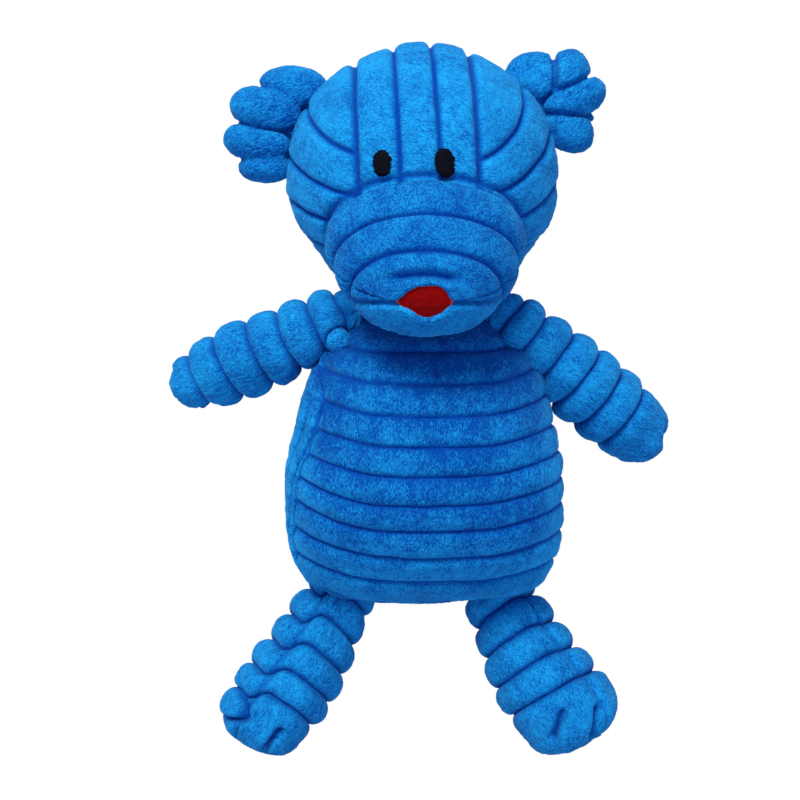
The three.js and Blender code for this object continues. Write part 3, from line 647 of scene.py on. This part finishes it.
# The muzzle's cloth ends at this share of the way from the head's centre to the head's skin
SUNK_SHARE = 0.92
# About how far it is round the muzzle, over its cloth and over the chin's, for the number of points
MUZZLE_ROUND, MUZZLE_RUN, CHIN_RUN = 165, 78, 34


def out_and_up(lean):
    """The way a form that leans toward the chest points, and the way up it."""
    return np.array([0, -math.sin(lean), math.cos(lean)]), np.array([0, math.cos(lean), math.sin(lean)])


MUZZLE_OUT, MUZZLE_UP = out_and_up(MUZZLE_LEAN)
MOUTH_OUT, MOUTH_UP = out_and_up(MOUTH_LEAN)
MOUTH_CENTRE = MUZZLE_CENTRE - 0.8 * ACROSS - 0.7 * MOUTH_UP


def muzzle_share(places):
    """How far out places are from the muzzle's middle: 1 on its skin."""
    away = places - MUZZLE_CENTRE
    out = (away @ MUZZLE_OUT) / MUZZLE_REACH
    size = 1 - MUZZLE_NARROWING * out
    x = away[..., 0] / (MUZZLE_HALF_WIDTH * size)
    up = (away @ MUZZLE_UP) / (MUZZLE_HALF_LENGTH * size)
    return (x * x + up * up) ** (MUZZLE_FULLNESS / 2) + np.abs(out) ** MUZZLE_FULLNESS


def muzzle_hit(start, way):
    """Where rays from inside the muzzle leave it."""
    low = np.zeros(way.shape[:-1])
    high = low + 60
    for _ in range(24):
        middle = (low + high) / 2
        within = muzzle_share(start + way * middle[..., None]) < 1
        low, high = np.where(within, middle, low), np.where(within, high, middle)
    return start + way * low[..., None]


def mouth_outline(share, up):
    """Half the mouth's height at a share of its half width: pointed at its left, rounder at its right."""
    above = np.where(share < 0, 2.0, 4.0)
    below = np.where(share < 0, 1.15, 2.6)
    power = np.where(up > 0, above, below)
    return MOUTH_HALF_HEIGHT * (1 - np.abs(np.clip(share, -1, 1)) ** power)


def mouth_depth(places):
    """How far inside the mouth's outline places on the muzzle are, in mm, below 0 outside it."""
    away = places - MOUTH_CENTRE
    share = away[..., 0] / MOUTH_HALF_WIDTH
    up = away @ MOUTH_UP
    return np.where((away @ MOUTH_OUT) > 0, mouth_outline(share, up) - np.abs(up), -9)


def down_ways(tilt, turn):
    """Directions round the way down to the feet: tilt is the angle from it."""
    return np.stack([np.sin(tilt) * np.cos(turn), -np.cos(tilt), np.sin(tilt) * np.sin(turn)], axis=-1)


def evened(ring, times):
    """Values round a ring with their small steps evened out."""
    for _ in range(times):
        ring = (np.roll(ring, 1) + 2 * ring + np.roll(ring, -1)) / 4
    return ring


def muzzle_edges(turn):
    """For each turn, the tilt of the mouth's seam and the tilt where the cloth ends inside the head."""
    tilts = np.linspace(POLE_TILT, math.pi - POLE_TILT, 260)
    grid = muzzle_hit(MUZZLE_CENTRE, down_ways(*np.meshgrid(tilts, turn, indexing="ij")))
    seam = evened(tilts[np.argmax(grid[..., 1] > MOUTH_SEAM_Y, axis=0)], 3)
    sunk = np.linalg.norm((grid - HEAD_CENTRE) / HEAD_SEMI, axis=-1) < SUNK_SHARE
    sunk &= tilts[:, None] > seam[None] + 0.12
    return seam, evened(tilts[np.argmax(sunk, axis=0)], 12)


def muzzle_panel(name, chin, replaced):
    """The muzzle's cloth above the mouth's seam, or the chin's below it."""
    turn = np.linspace(0, 2 * math.pi, points_over(MUZZLE_ROUND), endpoint=False)
    seam, top = muzzle_edges(turn)
    share = np.linspace(0, 1, points_over(CHIN_RUN if chin else MUZZLE_RUN))[:, None]
    first, last = (POLE_TILT, seam + 0.01) if chin else (seam, top)
    tilt = first + (last - first) * share
    base = muzzle_hit(MUZZLE_CENTRE, down_ways(tilt, turn + 0 * tilt))
    normal = normals(base, True, MUZZLE_CENTRE)
    base = base + normal * (0.5 * noise(base, 17, 41))[..., None]
    out = (base - MUZZLE_CENTRE) @ MUZZLE_OUT
    place = out + 0.45 * noise(base, 18, 42) + 0.15 * noise(base, 5, 43)
    height = wales(place, MUZZLE_GROOVES, bare=0.35, shoulder=4.4)
    x, up = base[..., 0] - MOUTH_CENTRE[0], (base - MOUTH_CENTRE) @ MOUTH_UP
    front = ramp((base - MOUTH_CENTRE) @ MOUTH_OUT, 6, 12)
    lips = crease(base[..., 1] - MOUTH_SEAM_Y, 0.9) * front
    fold = crease(up - NOSE_FOLD_UP + NOSE_FOLD_DROOP * x ** 2, 1.3) * front
    fold = fold * ramp(np.abs(x), NOSE_FOLD_HALF_WIDTH, NOSE_FOLD_HALF_WIDTH - 6)
    depth = mouth_depth(base)
    pit = ramp(depth, -0.66, 0.44)
    height = height * (1 - 0.8 * lips) * (1 - 0.97 * fold)
    height = np.where(depth > -1, np.maximum(height, pit), height)
    points, values = clothed(
        base, normal, height, MUZZLE_OUT + 0.4 * MUZZLE_UP, extra=-1.9 * pit - 0.9 * fold,
        tone_and_shade=0.02 if chin else -0.16)
    ends = (points[0].mean(0), MUZZLE_CENTRE + (-8 if chin else 8) * MUZZLE_UP)
    tube(
        name, points, values, ends,
        material=CORDUROY, body="head", slot="corduroy", replaced=replaced, fill=0.85)


def mouth_felt():
    """A lens of felt that lies in the muzzle's pit between the lips."""
    share, t = np.meshgrid(
        np.linspace(-1, 1, points_over(42)), np.linspace(-1, 1, points_over(28)), indexing="ij")
    x = (MOUTH_HALF_WIDTH + 0.2) * share
    up = t * (mouth_outline(share, t) + 0.12)
    flat = np.stack([x, up, x * 0], -1)
    up = up + 0.22 * noise(flat, 0.7, 51) * np.abs(t) ** 3
    edge = ramp(np.maximum(np.abs(t), np.abs(share)), 0.88, 0.98)
    start = MOUTH_CENTRE + x[..., None] * ACROSS + up[..., None] * MOUTH_UP
    skin = muzzle_hit(start, np.broadcast_to(MOUTH_OUT, start.shape))
    sunk = -1.15 + 0.35 * edge + 0.13 * noise(flat, 1.3, 52)
    points = skin + sunk[..., None] * MOUTH_OUT
    panel(
        "mouth_lens", points, {"edge": edge}, hub=points.mean((0, 1)) - 4 * MOUTH_OUT,
        material=FELT, body="head", slot="red_felt", replaced=("mouth_felt",))


# Places across and along from the head's centre, half width, half height and lean
EYES = {"left_eye": (-14.2, 1.9, 3.0, 4.4, 0.0), "right_eye": (6.6, 1.9, 3.2, 4.8, 0.08)}
# How wide a stitch of the eyes is, and how far apart the points of their mesh are
STITCH, EYE_STEP = 0.36, 0.12


def eye(name, x, up, half_width, half_height, lean):
    """An oval of satin stitches that lie across it, with ragged ends."""
    rows, cols = int(2 * half_height / EYE_STEP), 40
    s, t = np.meshgrid(np.linspace(-1, 1, rows), np.linspace(-1, 1, cols), indexing="ij")
    along = s * half_height / STITCH
    stitch = np.floor(along).astype(np.int64)
    reach = np.clip(1 - np.abs(s) ** 2.5, 0, 1) ** 0.45 * half_width
    ends = np.where(t > 0, hashed(stitch, 2, 0, 61), hashed(stitch, 0, 0, 62))
    width = reach + 0.42 * ends * (0.3 + 0.7 * reach / half_width)
    px = x + t * width - lean * s * half_height
    py = HEAD_CENTRE[1] + up + s * half_height
    flat = ((px - HEAD_CENTRE[0]) / HEAD_SEMI[0]) ** 2 + ((py - HEAD_CENTRE[1]) / HEAD_SEMI[1]) ** 2
    skin = HEAD_CENTRE[2] + HEAD_SEMI[2] * np.sqrt(1 - flat)
    ridge = np.abs(np.sin(along * math.pi))
    crown = np.sqrt(np.clip(1 - t * t, 0, 1)) * ramp(np.abs(s), 1, 0.75)
    pz = skin - 0.25 + 0.75 * crown + 0.1 * ridge
    points = np.stack([px, py, pz], axis=-1)
    hub = (x, HEAD_CENTRE[1] + up, float(pz.min()) - 1.5)
    panel(
        f"{name}_stitches", points, {}, hub,
        material=THREAD, body="head", slot="eye_thread", replaced=(name,))


# Ears

EAR_RADIUS = 20
EAR_STAND_OFF = 1.5
# around: degrees round the head of the ear's root
# form_shares: the ellipsoids that make up the ear, which overlap: their middles from the root and their
# half sizes, as shares of EAR_RADIUS, and the degrees that they are turned
EARS = {
    "left_ear": {
        "around": 155,
        "form_shares": [
            (-0.27, -0.055, 0, 0.86, 0.7, 0.25, 64),
            (0.0, 0.58, 0, 0.66, 0.42, 0.42, -6),
            (-0.48, 0.19, 0.06, 0.7, 0.43, 0.48, -12),
            (-0.62, -0.36, 0, 0.7, 0.4, 0.44, -5),
            (-0.5, -0.77, -0.06, 0.56, 0.34, 0.36, 4),
        ],
    },
    "right_ear": {
        "around": 29,
        "form_shares": [
            (0.2, 0.22, 0, 0.82, 0.66, 0.25, -61),
            (-0.14, 0.6, 0, 0.64, 0.48, 0.42, 165),
            (0.33, 0.62, 0, 0.54, 0.44, 0.44, 58),
            (0.46, 0.22, 0.04, 0.66, 0.4, 0.46, 22),
            (0.36, -0.22, 0, 0.6, 0.42, 0.42, -42),
        ],
    },
}


def ear_root(around):
    """The place on the head's side where an ear is sewn on."""
    angle = math.radians(around)
    way = np.array([math.cos(angle), math.sin(angle), 0])
    return HEAD_CENTRE + HEAD_SEMI * way + EAR_STAND_OFF * way


def far_side(start, rays, centre, semi, degrees):
    """How far along each ray from start an ellipsoid ends, or 0 where the ray misses it."""
    turn = math.radians(degrees)
    spin = np.array([[math.cos(turn), math.sin(turn), 0], [-math.sin(turn), math.cos(turn), 0], [0, 0, 1]])
    o = (spin @ (start - centre)) / semi
    d = (rays @ spin.T) / semi
    a = np.sum(d * d, -1)
    b = np.sum(d * o, -1)
    inside = b * b - a * (np.dot(o, o) - 1)
    return np.where(inside > 0, (-b + np.sqrt(np.maximum(inside, 0))) / a, 0)


def blurred(field, times):
    """Values of a grid whose rows are rings, with their small steps evened out."""
    for _ in range(times):
        padded = np.pad(field, ((1, 1), (0, 0)), mode="edge")
        field = 0.5 * field + 0.25 * (padded[:-2] + padded[2:])
        field = 0.5 * field + 0.25 * (np.roll(field, 1, 1) + np.roll(field, -1, 1))
    return field


def ear(name, spec, way, replaced, body):
    """Half of an ear's cloth: way is 1 for its front and -1 for its back."""
    root = ear_root(spec["around"])
    forms = [np.array(row) for row in spec["form_shares"]]
    start = root + EAR_RADIUS * forms[0][:3]
    tilt, turn = np.meshgrid(
        np.linspace(0.01, math.pi / 2, points_over(30)),
        np.linspace(0, 2 * math.pi, points_over(120), endpoint=False), indexing="ij")
    rays = np.stack([
        np.sin(tilt) * np.cos(turn), np.sin(tilt) * np.sin(turn), way * np.cos(tilt)], axis=-1)
    reaches = np.stack([
        far_side(start, rays, root + EAR_RADIUS * row[:3], EAR_RADIUS * row[3:6], row[6])
        for row in forms])
    reaches = np.sort(reaches, axis=0)
    reach = blurred(reaches[-1], 2)
    # Where two lobes meet the pile is lowered: the cloth sinks into a notch and is painted groove shade
    # there
    beside_notch = ramp(reaches[-1] - reaches[-2], 0, 1.9)
    height = blurred(1 - 0.9 * (1 - beside_notch) ** 2, 2)
    base = start + rays * reach[..., None]
    normal = normals(base, True, start)
    points, values = clothed(base, normal, height, root - start, depth=3.0, tone_and_shade=-0.08)
    tube(
        name, points, values, (points[0].mean(0), points[-1].mean(0)),
        material=CORDUROY, body=body, slot="corduroy", replaced=replaced, fill=0.5)


# Limbs

# root and reach: where the limb begins and how far it goes from there; sway: how far its middle is aside
# radius_shares: its radius from root to tip, as shares of radius
# tip_share: how far its round tip stands out, as a share of the last radius
# grooves: their places along it; bow: how far they lie nearer to the root on top; lean: and to one side
# step: how far the grooves jump before and after the seam; seam: degrees round the limb, where 90 is on top
# depth: of the grooves; shoulder: of the ribs beside them; folds: how many gathers the tip has
# lump: the middle of a knot of cloth; slits: their ends, seen from above
LIMBS = {
    "left_arm": {
        "root": (-34, 40.5, 45), "reach": (-57, -25.5, -30), "sway": 0.0,
        "radius": 17.0, "radius_shares": [0.73, 0.77, 0.82, 0.87, 0.91, 0.91, 0.84, 0.7],
        "tip_share": 0.85,
        "grooves": [-19, -6, 6.5, 20.3, 35, 51, 67, 200], "bow": 5.0, "lean": 0.0, "step": (0.0, 0.0),
        "seam": 158, "depth": 3.8, "shoulder": 6.4,
        "folds": 3, "lump": (-29.4, 32.5, 58.0), "slits": (),
    },
    "right_arm": {
        "root": (35.5, 38, 45), "reach": (51.5, -42.0, -28), "sway": 0.0,
        "radius": 16.6, "radius_shares": [0.78, 0.84, 0.9, 0.95, 0.98, 1, 0.99, 0.9],
        "tip_share": 0.85,
        "grooves": [-19, -6, 7, 20.5, 34, 48, 62, 200], "bow": 5.0, "lean": 0.0, "step": (0.0, 0.0),
        "seam": 12, "depth": 3.8, "shoulder": 6.4,
        "folds": 3, "lump": None, "slits": (),
    },
    "left_leg": {
        "root": (-34, -74, 23), "reach": (-30.5, -46.5, 11), "sway": -1.5,
        "radius": 20.8, "radius_shares": [0.74, 0.79, 0.85, 0.9, 0.95, 0.98, 0.96, 0.88],
        "tip_share": 0.6,
        "grooves": [-23, -11.5, 0.7, 13.0, 25.4, 37.6, 49.8, 200], "bow": 4.6, "lean": -0.8,
        "step": (3.9, 2.6),
        "seam": 60, "depth": 4.2, "shoulder": 6.0,
        "folds": 0, "lump": None,
        "slits": (
            ((-73.1, -102), (-68.5, -111.5)),
            ((-79, -117.5), (-68.6, -112.5)),
            ((-61.5, -127.5), (-54.5, -118)),
        ),
    },
    "right_leg": {
        "root": (33, -74, 23), "reach": (28, -44.5, 11), "sway": 2.2,
        "radius": 20.8, "radius_shares": [0.74, 0.78, 0.84, 0.9, 0.97, 1.02, 1.02, 0.97],
        "tip_share": 0.6,
        "grooves": [-19.3, -7.3, 5.0, 17.2, 29.5, 42, 200], "bow": 4.2, "lean": 0.0,
        "step": (0.0, -0.8),
        "seam": 138, "depth": 3.8, "shoulder": 5.8,
        "folds": 0, "lump": None,
        "slits": (
            ((51.2, -120.5), (55, -109.3)),
            ((67.7, -123.2), (69.4, -109)),
        ),
    },
}
# The knot's radius, and how far it stands out
LUMP_RADIUS, LUMP_RISE = 6.2, 4.2


def limb_outline(spec, length):
    """Places along a limb, its radius there and its unrolled length: a round root, barrel and tip."""
    shares = np.array(spec["radius_shares"])
    tip = spec["radius"] * shares[-1]
    root_bend = np.linspace(-math.pi / 2 + 0.03, 0, points_over(1.164 * spec["radius"] * shares[0]))[:-1]
    tip_bend = np.linspace(0, math.pi / 2 - 0.02, points_over(1.5 * tip))[1:]
    barrel = np.linspace(0, length, points_over(length))
    radius = spec["radius"] * np.interp(barrel, np.linspace(0, length, len(shares)), shares)
    for _ in range(30):
        radius[1:-1] = 0.5 * radius[1:-1] + 0.25 * (radius[:-2] + radius[2:])
    root_rise = radius[0] * np.sin(root_bend)
    at = np.concatenate([root_rise, barrel, length + spec["tip_share"] * tip * np.sin(tip_bend)])
    sizes = np.concatenate([radius[0] * np.cos(root_bend), radius, radius[-1] * np.cos(tip_bend) ** 0.85])
    unrolled = np.concatenate([root_rise, barrel, length + tip * tip_bend])
    return at, sizes, unrolled


def slit_distance(places, first, last):
    """How far places are, seen from above, from a straight slit."""
    first, last = np.array(first, float), np.array(last, float)
    run = last - first
    share = np.clip((places[..., :2] - first) @ run / (run @ run), 0, 1)
    return np.linalg.norm(places[..., :2] - first - share[..., None] * run, axis=-1)


def limb_form(spec, along, angle, at, radius):
    """Rings of points round the limb's middle line, which sways aside, and their normals."""
    root, reach = np.array(spec["root"], float), np.array(spec["reach"], float)
    side = unit(np.cross(along, (0, 0, 1)))
    front = np.cross(side, along)
    ring = np.cos(angle)[:, None] * side + np.sin(angle)[:, None] * front
    sway = spec["sway"] * np.sin(math.pi * ramp(at, 0, np.linalg.norm(reach)))
    middle = root + at[:, None] * along + sway[:, None] * side
    base = middle[:, None, :] + radius[:, None, None] * ring[None]
    normal = normals(base, True, root + 0.5 * reach)
    return base + normal * (0.8 * noise(base, 16, 71))[..., None], normal


def limb_place(spec, base, angle, from_seam, unrolled):
    """Places along a limb as its grooves run, with their bow, their lean and their step at the seam."""
    place = unrolled[:, None] + spec["bow"] * np.sin(angle) + spec["lean"] * np.cos(angle)
    beyond = 0.5 + 0.5 * np.tanh(7 * from_seam)
    before, after = spec["step"]
    place = place + after * beyond * crease(from_seam, 1.3)
    place = place - before * (1 - beyond) * crease(from_seam, 0.6)
    return place + 0.7 * noise(base, 17, 72) + 0.25 * noise(base, 6, 73)


def limb_height(spec, base, normal, place, from_seam, beyond_barrel):
    """Height of a limb's ribs, with the pinch of its seam, the gathers of its tip and its slits."""
    height = wales(place, spec["grooves"], bare=0.15, shoulder=spec["shoulder"])
    pinch = crease(from_seam * spec["radius"] + 0.6 * noise(base, 7, 75), 1.9)
    height = height * (1 - 0.5 * pinch)
    if spec["folds"]:
        gathered = ramp(beyond_barrel, 2, 10)[:, None]
        folds = 0.5 + 0.5 * np.cos(spec["folds"] * from_seam + 1.5 * noise(base, 12, 74))
        height = height * (1 - 0.75 * gathered * folds ** 6)
    for first, last in spec["slits"]:
        away = slit_distance(base + 0.7 * noise(base, 6, 76)[..., None], first, last)
        height = height * (1 - 0.95 * crease(away, 1.5) * (normal[..., 2] > -0.2))
    return height


def limb(name, spec):
    """An arm or a leg: a tube of ring-shaped ribs with a round root and a round tip."""
    length = np.linalg.norm(spec["reach"])
    along = np.array(spec["reach"]) / length
    at, radius, unrolled = limb_outline(spec, length)
    angle = np.linspace(0, 2 * math.pi, points_over(2.1 * math.pi * spec["radius"]), endpoint=False)
    base, normal = limb_form(spec, along, angle, at, radius)
    from_seam = (angle - math.radians(spec["seam"]) + math.pi) % (2 * math.pi) - math.pi
    place = limb_place(spec, base, angle, from_seam, unrolled)
    height = limb_height(spec, base, normal, place, from_seam, unrolled - length)
    depth = spec["depth"] * (1 + 0.3 * crease(from_seam, 0.9))
    extra = 0.0
    if spec["lump"] is not None:
        away = np.linalg.norm(base - np.array(spec["lump"]), axis=-1)
        extra = LUMP_RISE * np.sqrt(np.clip(1 - (away / LUMP_RADIUS) ** 2, 0, 1))
        beside = height * (1 - 0.6 * crease(away - LUMP_RADIUS, 1.2))
        height = np.where(away < LUMP_RADIUS, 1.0, beside)
    points, values = clothed(base, normal, height, along, depth=depth, extra=extra)
    points[..., 2] = np.maximum(points[..., 2], 0.0)
    tube(
        f"{name}_tube", points, values, (points[0].mean(0), points[-1].mean(0)),
        material=CORDUROY, body=name, slot="corduroy",
        replaced=(f"{name}_cover", f"{name}_stuffing"), fill=0.75)


# Build the toy

body_panel(
    "belly", front=True, inner_z=68,
    replaced=("body_front_panel", "belly_stuffing_front", "neck_stuffing"))
body_panel("back", front=False, inner_z=6, replaced=("body_back_panel", "belly_stuffing_back"))
head_panel(
    "forehead", GUSSET_LEFT, GUSSET_RIGHT, front=True, place_of=across_gusset, grooves=GUSSET_GROOVES,
    seams=(GUSSET_LEFT, GUSSET_RIGHT), replaced=("forehead_gusset",), shoulder=3.0)
head_panel(
    "left_cheek", -HEAD_EDGE, GUSSET_LEFT, front=True, place_of=around_brow(LEFT_CHEEK_MIDDLE),
    grooves=LEFT_CHEEK_GROOVES, seams=(GUSSET_LEFT,), replaced=("left_cheek_panel",))
head_panel(
    "right_cheek", GUSSET_RIGHT, HEAD_EDGE, front=True, place_of=around_brow(RIGHT_CHEEK_MIDDLE),
    grooves=RIGHT_CHEEK_GROOVES, seams=(GUSSET_RIGHT,), replaced=("right_cheek_panel",))
head_panel(
    "head_back", -HEAD_EDGE, HEAD_EDGE, front=False, place_of=across_gusset, grooves=GUSSET_GROOVES,
    seams=(), replaced=("head_back_panel", "head_stuffing"), bare=0.5)
muzzle_panel("muzzle", chin=False, replaced=("muzzle_panel", "muzzle_stuffing"))
muzzle_panel("chin", chin=True, replaced=("chin_panel",))
mouth_felt()
for eye_name, eye_spec in EYES.items():
    eye(eye_name, *eye_spec)
for ear_name, ear_spec in EARS.items():
    ear(f"{ear_name}_cup", ear_spec, way=1, replaced=(f"{ear_name}_front",), body=ear_name)
    ear(f"{ear_name}_rear", ear_spec, way=-1, replaced=(f"{ear_name}_back",), body=ear_name)
for limb_name, limb_spec in LIMBS.items():
    limb(limb_name, limb_spec)

SQUEAKER = {"squeaker_bulb": BULB, "reed_housing": BULB, "reed_clamp": BULB, "reed_strip": REED}
for cad_name, plastic in SQUEAKER.items():
    for material_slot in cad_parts[cad_name].material_slots:
        material_slot.material = plastic


# Stage, in metres

FLOOR_HALF = 3.0
# Name, place, diameter, watts and colour of each lamp, and the place that they all point at
LAMPS = (
    ("key", (-0.3, 0.95, 0.95), 0.5, 17, (1.0, 0.98, 0.86)),
    ("front", (0.25, -0.5, 1.25), 0.9, 4.5, (0.9, 0.95, 1.0)),
)
LIT_PLACE = (0, 0, 0.03)
SKY_BLUE, SKY_STRENGTH = (0.42, 0.66, 1.0, 1), 0.45
# The photograph's camera; its focal length is 1060 pixels of a picture 800 wide
CAMERA_AT = (-0.0082, 0.060, 0.444)
CAMERA_TILT = math.radians(7)
FOCAL_SHARE = 1060 / 800
SENSOR_WIDTH = 36


def choose_for_camera(nodes, links, lighting, seen, output):
    """Lights the toy by one shader and shows another to the camera."""
    chooser = nodes.new("ShaderNodeMixShader")
    path = nodes.new("ShaderNodeLightPath")
    links.new(path.outputs["Is Camera Ray"], chooser.inputs["Fac"])
    links.new(lighting, chooser.inputs[1])
    links.new(seen, chooser.inputs[2])
    links.new(chooser.outputs["Shader"], nodes[output].inputs["Surface"])


def floor():
    """The white ground that the toy lies on."""
    mesh = bpy.data.meshes.new("floor")
    corners = [(FLOOR_HALF * x, FLOOR_HALF * y, 0.0) for x, y in ((-1, -1), (1, -1), (1, 1), (-1, 1))]
    mesh.from_pydata(corners, [], [(0, 1, 2, 3)])
    material, nodes, links = new_material("pale_floor")
    shader = nodes["Principled BSDF"]
    shader.inputs["Base Color"].default_value = (0.82, 0.84, 0.87, 1)
    shader.inputs["Roughness"].default_value = 0.9
    glow = nodes.new("ShaderNodeEmission")
    glow.inputs["Color"].default_value = (1, 1, 1, 1)
    choose_for_camera(
        nodes, links, shader.outputs["BSDF"], glow.outputs["Emission"], "Material Output")
    mesh.materials.append(material)
    piece = bpy.data.objects.new("floor", mesh)
    bpy.context.scene.collection.objects.link(piece)


def area_light(name, place, size, power, colour):
    """A round lamp."""
    light = bpy.data.lights.new(name, "AREA")
    light.shape = "DISK"
    light.size = size
    light.energy = power
    light.color = colour
    piece = bpy.data.objects.new(name, light)
    piece.location = place
    piece.rotation_mode = "QUATERNION"
    piece.rotation_quaternion = (Vector(LIT_PLACE) - Vector(place)).to_track_quat("-Z", "Y")
    bpy.context.scene.collection.objects.link(piece)


def sky():
    """Pale blue light from all round, on a white background."""
    world = bpy.data.worlds.new("studio")
    bpy.context.scene.world = world
    world.use_nodes = True
    nodes, links = world.node_tree.nodes, world.node_tree.links
    fill = nodes["Background"]
    fill.inputs["Color"].default_value = SKY_BLUE
    fill.inputs["Strength"].default_value = SKY_STRENGTH
    seen = nodes.new("ShaderNodeBackground")
    seen.inputs["Color"].default_value = (1, 1, 1, 1)
    choose_for_camera(
        nodes, links, fill.outputs["Background"], seen.outputs["Background"], "World Output")


def camera():
    """A camera that sees the toy as the photograph does."""
    data = bpy.data.cameras.new("camera")
    data.sensor_width = SENSOR_WIDTH
    data.lens = SENSOR_WIDTH * FOCAL_SHARE
    data.clip_start = 0.01
    piece = bpy.data.objects.new("camera", data)
    piece.location = CAMERA_AT
    piece.rotation_euler = (-CAMERA_TILT, 0, 0)
    bpy.context.scene.collection.objects.link(piece)
    bpy.context.scene.camera = piece


floor()
sky()
for lamp in LAMPS:
    area_light(*lamp)
camera()
bpy.context.scene.view_settings.view_transform = "Standard"

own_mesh(bpy.data.objects["belly"])
